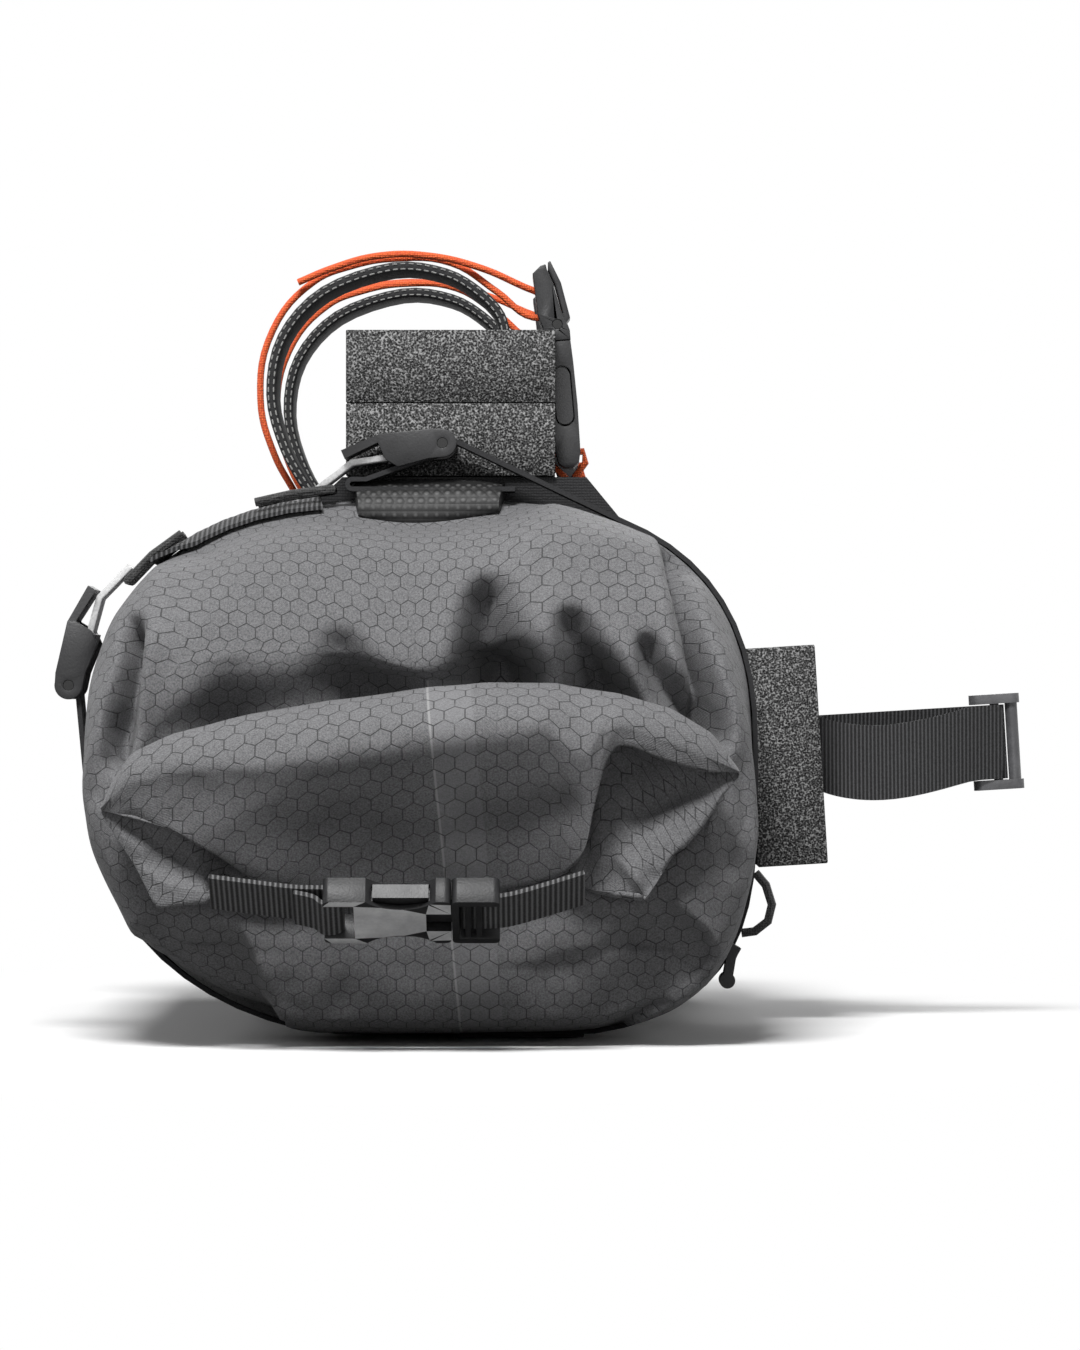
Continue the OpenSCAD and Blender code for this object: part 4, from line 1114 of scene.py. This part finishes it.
# The bag, the plug's body and two points on the strap; set_piece keeps the piece where it is.
STRAP_BEND = {word: ("bag", f"{word}_bar_release", (-0.05, 0, 0.21), (0.026, 0, 0.24))
              for word, _ in SIDES}
bpy.ops.object.select_all(action="DESELECT")
bpy.ops.mesh.primitive_uv_sphere_add(segments=8, ring_count=6, radius=DASH_R * MM)
dash = bpy.context.object
for vertex in dash.data.vertices:
    if abs(vertex.co.x) > 1e-6:
        vertex.co.x += math.copysign(DASH_LONGER * MM, vertex.co.x)
for word, side in SIDES:
    whole = bmesh.new()
    for here, d in stitch_places:
        turned = Matrix.Rotation(-math.atan2(d[1], d[0]), 4, "Y")
        for depth in (ROW_IN, STRAP_T - ROW_IN):
            for edge in (-1, 1):
                x, z = here + np.array([d[1], -d[0]]) * depth
                y = side * MOUNT_Y + edge * (STRAP_EDGE + PROUD)
                stitch = dash.data.copy()
                stitch.transform(Matrix.Translation(Vector((x, y, z)) * MM) @ turned)
                whole.from_mesh(stitch)
                bpy.data.meshes.remove(stitch)
    row = placed(f"{word}_strap_stitches", bpy.data.meshes.new(f"{word}_strap_stitches"))
    whole.to_mesh(row.data)
    whole.free()
    set_piece(row, white_thread, STRAP_BEND[word], "black_webbing")
    print(row.name, len(row.data.polygons), "faces")
bpy.data.objects.remove(dash)

# %% [markdown]
# ## Edges of the moulded and metal parts
# A moulded part has softened edges that catch the light. A finish could fake them, but not up
# close, so a copy of each solid gets a narrow bevel, and stands for it on the same body.

# %% Moulded and metal parts
EDGE_WIDTH = 0.0005
EASED = {
    "black_plastic": (black_plastic, {
        "top_tensioner": "top_lever", "front_tensioner": "front_lever", "bar_socket": "bag",
        "bar_plug": "bar_release", "cam_lever": "cam"}),
    "hook_metal": (hook_metal, {"top_hook": "top_lever", "front_hook": "front_lever"}),
    "grey_plastic": (grey_plastic, {"closure_socket": "bag", "closure_plug": "closure_release"}),
}
for slot, (mat, parts) in EASED.items():
    for part, mover in parts.items():
        for word, _ in SIDES:
            on = mover if mover == "bag" else f"{word}_{mover}"
            eased_copy(f"{word}_{part}", f"{word}_{part}_finished", EDGE_WIDTH, mat, slot, on)
print("moulded parts eased")

# %% [markdown]
# ## Painted reflection on the closure buckle
# The socket of each closure buckle is dark plastic. Its sloping outer faces, turned down and
# forward, take a pale second material: painted reflection of the bright floor below. It could be
# a piece of its own, but it lies flush, so the faces turned that way take the second material.

# %% Faces with painted reflection
PAINTED_FACE_TILT = math.radians(150)
PAINTED_FACE_LEAST = 4e-6
# Faces turned down and forward take the pale painted reflection; the rest keeps its dark plastic.
for word, side in SIDES:
    buckle = bpy.data.objects[f"{word}_closure_socket_finished"]
    buckle.data.materials.append(painted_reflection)
    out = Vector((0, side * math.sin(PAINTED_FACE_TILT), math.cos(PAINTED_FACE_TILT)))
    painted_faces = [f for f in buckle.data.polygons if f.normal.dot(out) > 0.95 and f.area > PAINTED_FACE_LEAST]
    for face in painted_faces:
        face.material_index = 1
    print(buckle.name, "has", len(painted_faces), "bright faces")

# %% [markdown]
# ## Padded straps and slider
# The padded straps are cloth sewn over a pad, and the slider is a thick frame with round caps.
# Both could be built new, but a wider bevel rounds their solids enough. The straps are given
# the same bodies and points as their stitches, and stay in place.

# %% Padded straps and slider
PAD_EDGE = 0.0009
SLIDER_EDGE = 0.0012
for word, _ in SIDES:
    eased_copy(f"{word}_bar_strap", f"{word}_padded_strap", PAD_EDGE, padded_cloth,
               "black_webbing", STRAP_BEND[word])
eased_copy("slider", "slider_finished", SLIDER_EDGE, slider_plastic, "black_plastic",
           "head_slider", segments=4, angle=1.0)
print("padded straps and slider eased")

# %% [markdown]
# ## Pieces that keep their solids
# Flat webbing, sewn patches, thin cords, pins and hidden parts have their final shape. They
# could be copied too, but only their finish is new, so it goes on the frame's own nodes.

# %% Finishes on the frame's solids
FINISH = {
    black_cloth: ["back_panel", "base_patch", "left_mount_base", "right_mount_base"],
    black_webbing: ["left_compression_strap", "right_compression_strap", "strap_keepers"],
    strap_webbing: ["closure_straps_fixed", "left_closure_strap_free", "right_closure_strap_free"],
    black_braid: ["hook_loops", "rear_cord_loops"],
    orange_braid: ["anchor_cords"],
    pin_steel: ["tensioner_pins", "left_cam_pin", "right_cam_pin"],
    grey_plastic: ["rear_tabs"],
    black_plastic: ["roll_battens", "stiffener_sheet"] + [n for n in nodes if "_prong_" in n],
}
for mat, names in FINISH.items():
    for name in names:
        nodes[name].data.materials.clear()
        nodes[name].data.materials.append(mat)
print("finishes on", sum(len(v) for v in FINISH.values()), "solids")

# %% [markdown]
# ## Head tube strap
# The near run of this loop sags between the spacer and the slider. It could hang in a
# simulation, but both its ends are held, so a bow on a fine copy of the solid is enough.

# %% Head tube strap
RUN_X = (132, 184)
RUN_SAG = 4.5
RUN_LEAN = 2.2
RUN_MID_Z, RUN_SLOPE = 89.5, 0.061
RUN_HALF_HEIGHT = 12.5
HEAD_BEND = ("bag", "head_slider", (0.13, 0, 0.0893), (0.18, 0, 0.0924))
head_run = copy_node("head_strap", "head_tube_webbing")
subdivided(head_run, 2, "SIMPLE")
co = points_of(head_run)
x, y, z = co.T.copy()
bow = np.sin(math.pi * grows(x, RUN_X[0], RUN_X[1] - RUN_X[0]) ** 0.8)
height = (z - (RUN_MID_Z + RUN_SLOPE * (x - RUN_X[0]))) / RUN_HALF_HEIGHT
co[:, 1] = y - RUN_LEAN * bow * height * np.sign(y)
co[:, 2] = z - RUN_SAG * bow * (co[:, 1] < 0)
move_points(head_run, co)
set_piece(head_run, head_webbing, HEAD_BEND, "black_webbing", "head_strap")
print("head tube strap:", len(head_run.data.polygons), "faces")

# %% [markdown]
# ## Floor, light and camera
# A pale floor, one large soft lamp above and in front, and dimmer ones round it. An even sky
# could light it, but lamps keep the shadows where they are wanted. The world is white to the
# camera and a soft grey as a light, so that colours render about as written.

# %% World
AMBIENT = 0.095


def seen_white(tree):
    """1 for rays from the camera or sent on by a mirror or glass; then camera rays alone."""
    path = add(tree, "ShaderNodeLightPath").outputs
    seen = math_node(tree, "MAXIMUM", path["Is Camera Ray"], path["Is Glossy Ray"])
    return math_node(tree, "MAXIMUM", seen, path["Is Transmission Ray"]), path["Is Camera Ray"]


world = bpy.data.worlds.new("studio")
world.use_nodes = True
background = world.node_tree.nodes["Background"]
background.inputs["Color"].default_value = (1, 1, 1, 1)
level = remap(world, seen_white(world)[0], to_low=AMBIENT)
join(world, level, background.inputs["Strength"])
scene.world = world
print("made", world.name)

# %% Floor
FLOOR_BOUNCE = 0.2
FLOOR_SEEN = 0.95
FADE_X = 0.17
FADE_Y = 0.25
FADE = (0.75, 1.7)
bpy.ops.object.select_all(action="DESELECT")
bpy.ops.mesh.primitive_plane_add(size=30, location=(0, 0, -0.0005))
floor = bpy.context.object
floor.name = "floor"
only(floor)
bpy.ops.object.transform_apply(location=True)
pale, shader = material("pale_floor", (0.9, 0.9, 0.9), 0.9, specular=0.0)
white, direct = seen_white(pale)
tone = remap(pale, direct, to_low=FLOOR_BOUNCE, to_high=FLOOR_SEEN)
grey = add(pale, "ShaderNodeCombineColor", {0: tone, 1: tone, 2: tone}).outputs[0]
join(pale, grey, shader.inputs["Base Color"])
spot = vector_node(pale, "MULTIPLY", place_of(pale), (1 / FADE_X, 1 / FADE_Y, 0))
faded = remap(pale, vector_node(pale, "LENGTH", spot, output="Value"), *FADE, how="SMOOTHSTEP")
glow = add(pale, "ShaderNodeEmission", {"Color": (1, 1, 1, 1), "Strength": 1.0}).outputs[0]
both = {0: times(pale, faded, white), 1: shader.outputs[0], 2: glow}
surface = add(pale, "ShaderNodeMixShader", both).outputs[0]
join(pale, surface, pale.node_tree.nodes["Material Output"].inputs["Surface"])
floor.data.materials.append(pale)
print("floor made")

# %% Lamps: place, size and watts
LAMPS = (
    ("key", (-0.18, -1.02, 1.4), (0.5, 0.4), 31),
    ("left", (-1.3, 0.45, 0.8), (0.5, 1.0), 4.5),
    ("right", (1.4, 0.45, 0.7), (0.5, 1.0), 3.5),
    ("front", (0.1, -1.6, 0.3), (0.4, 0.3), 1.6),
    ("back", (0.3, 1.4, 1.0), (0.8, 0.6), 9),
)
LIT = Vector((0, 0, 0.1))
for name, place, size, watts in LAMPS:
    data = bpy.data.lights.new(f"{name}_lamp", "AREA")
    data.shape = "RECTANGLE"
    data.size, data.size_y = size
    data.energy = watts
    lamp = placed(data.name, data)
    lamp.location = place
    lamp.rotation_euler = (LIT - Vector(place)).to_track_quat("-Z", "Y").to_euler()
print("lamps:", len(bpy.data.lights))

# %% Camera
view = bpy.data.cameras.new("camera")
view.lens = 165.68
view.clip_end = 60
camera = placed("camera", view)
camera.location = (0.038, -2.1, 0.1157)
camera.rotation_euler = (math.radians(90), 0, 0)
scene.camera = camera
scene.view_settings.view_transform = "Standard"
print("lens", view.lens, "mm")
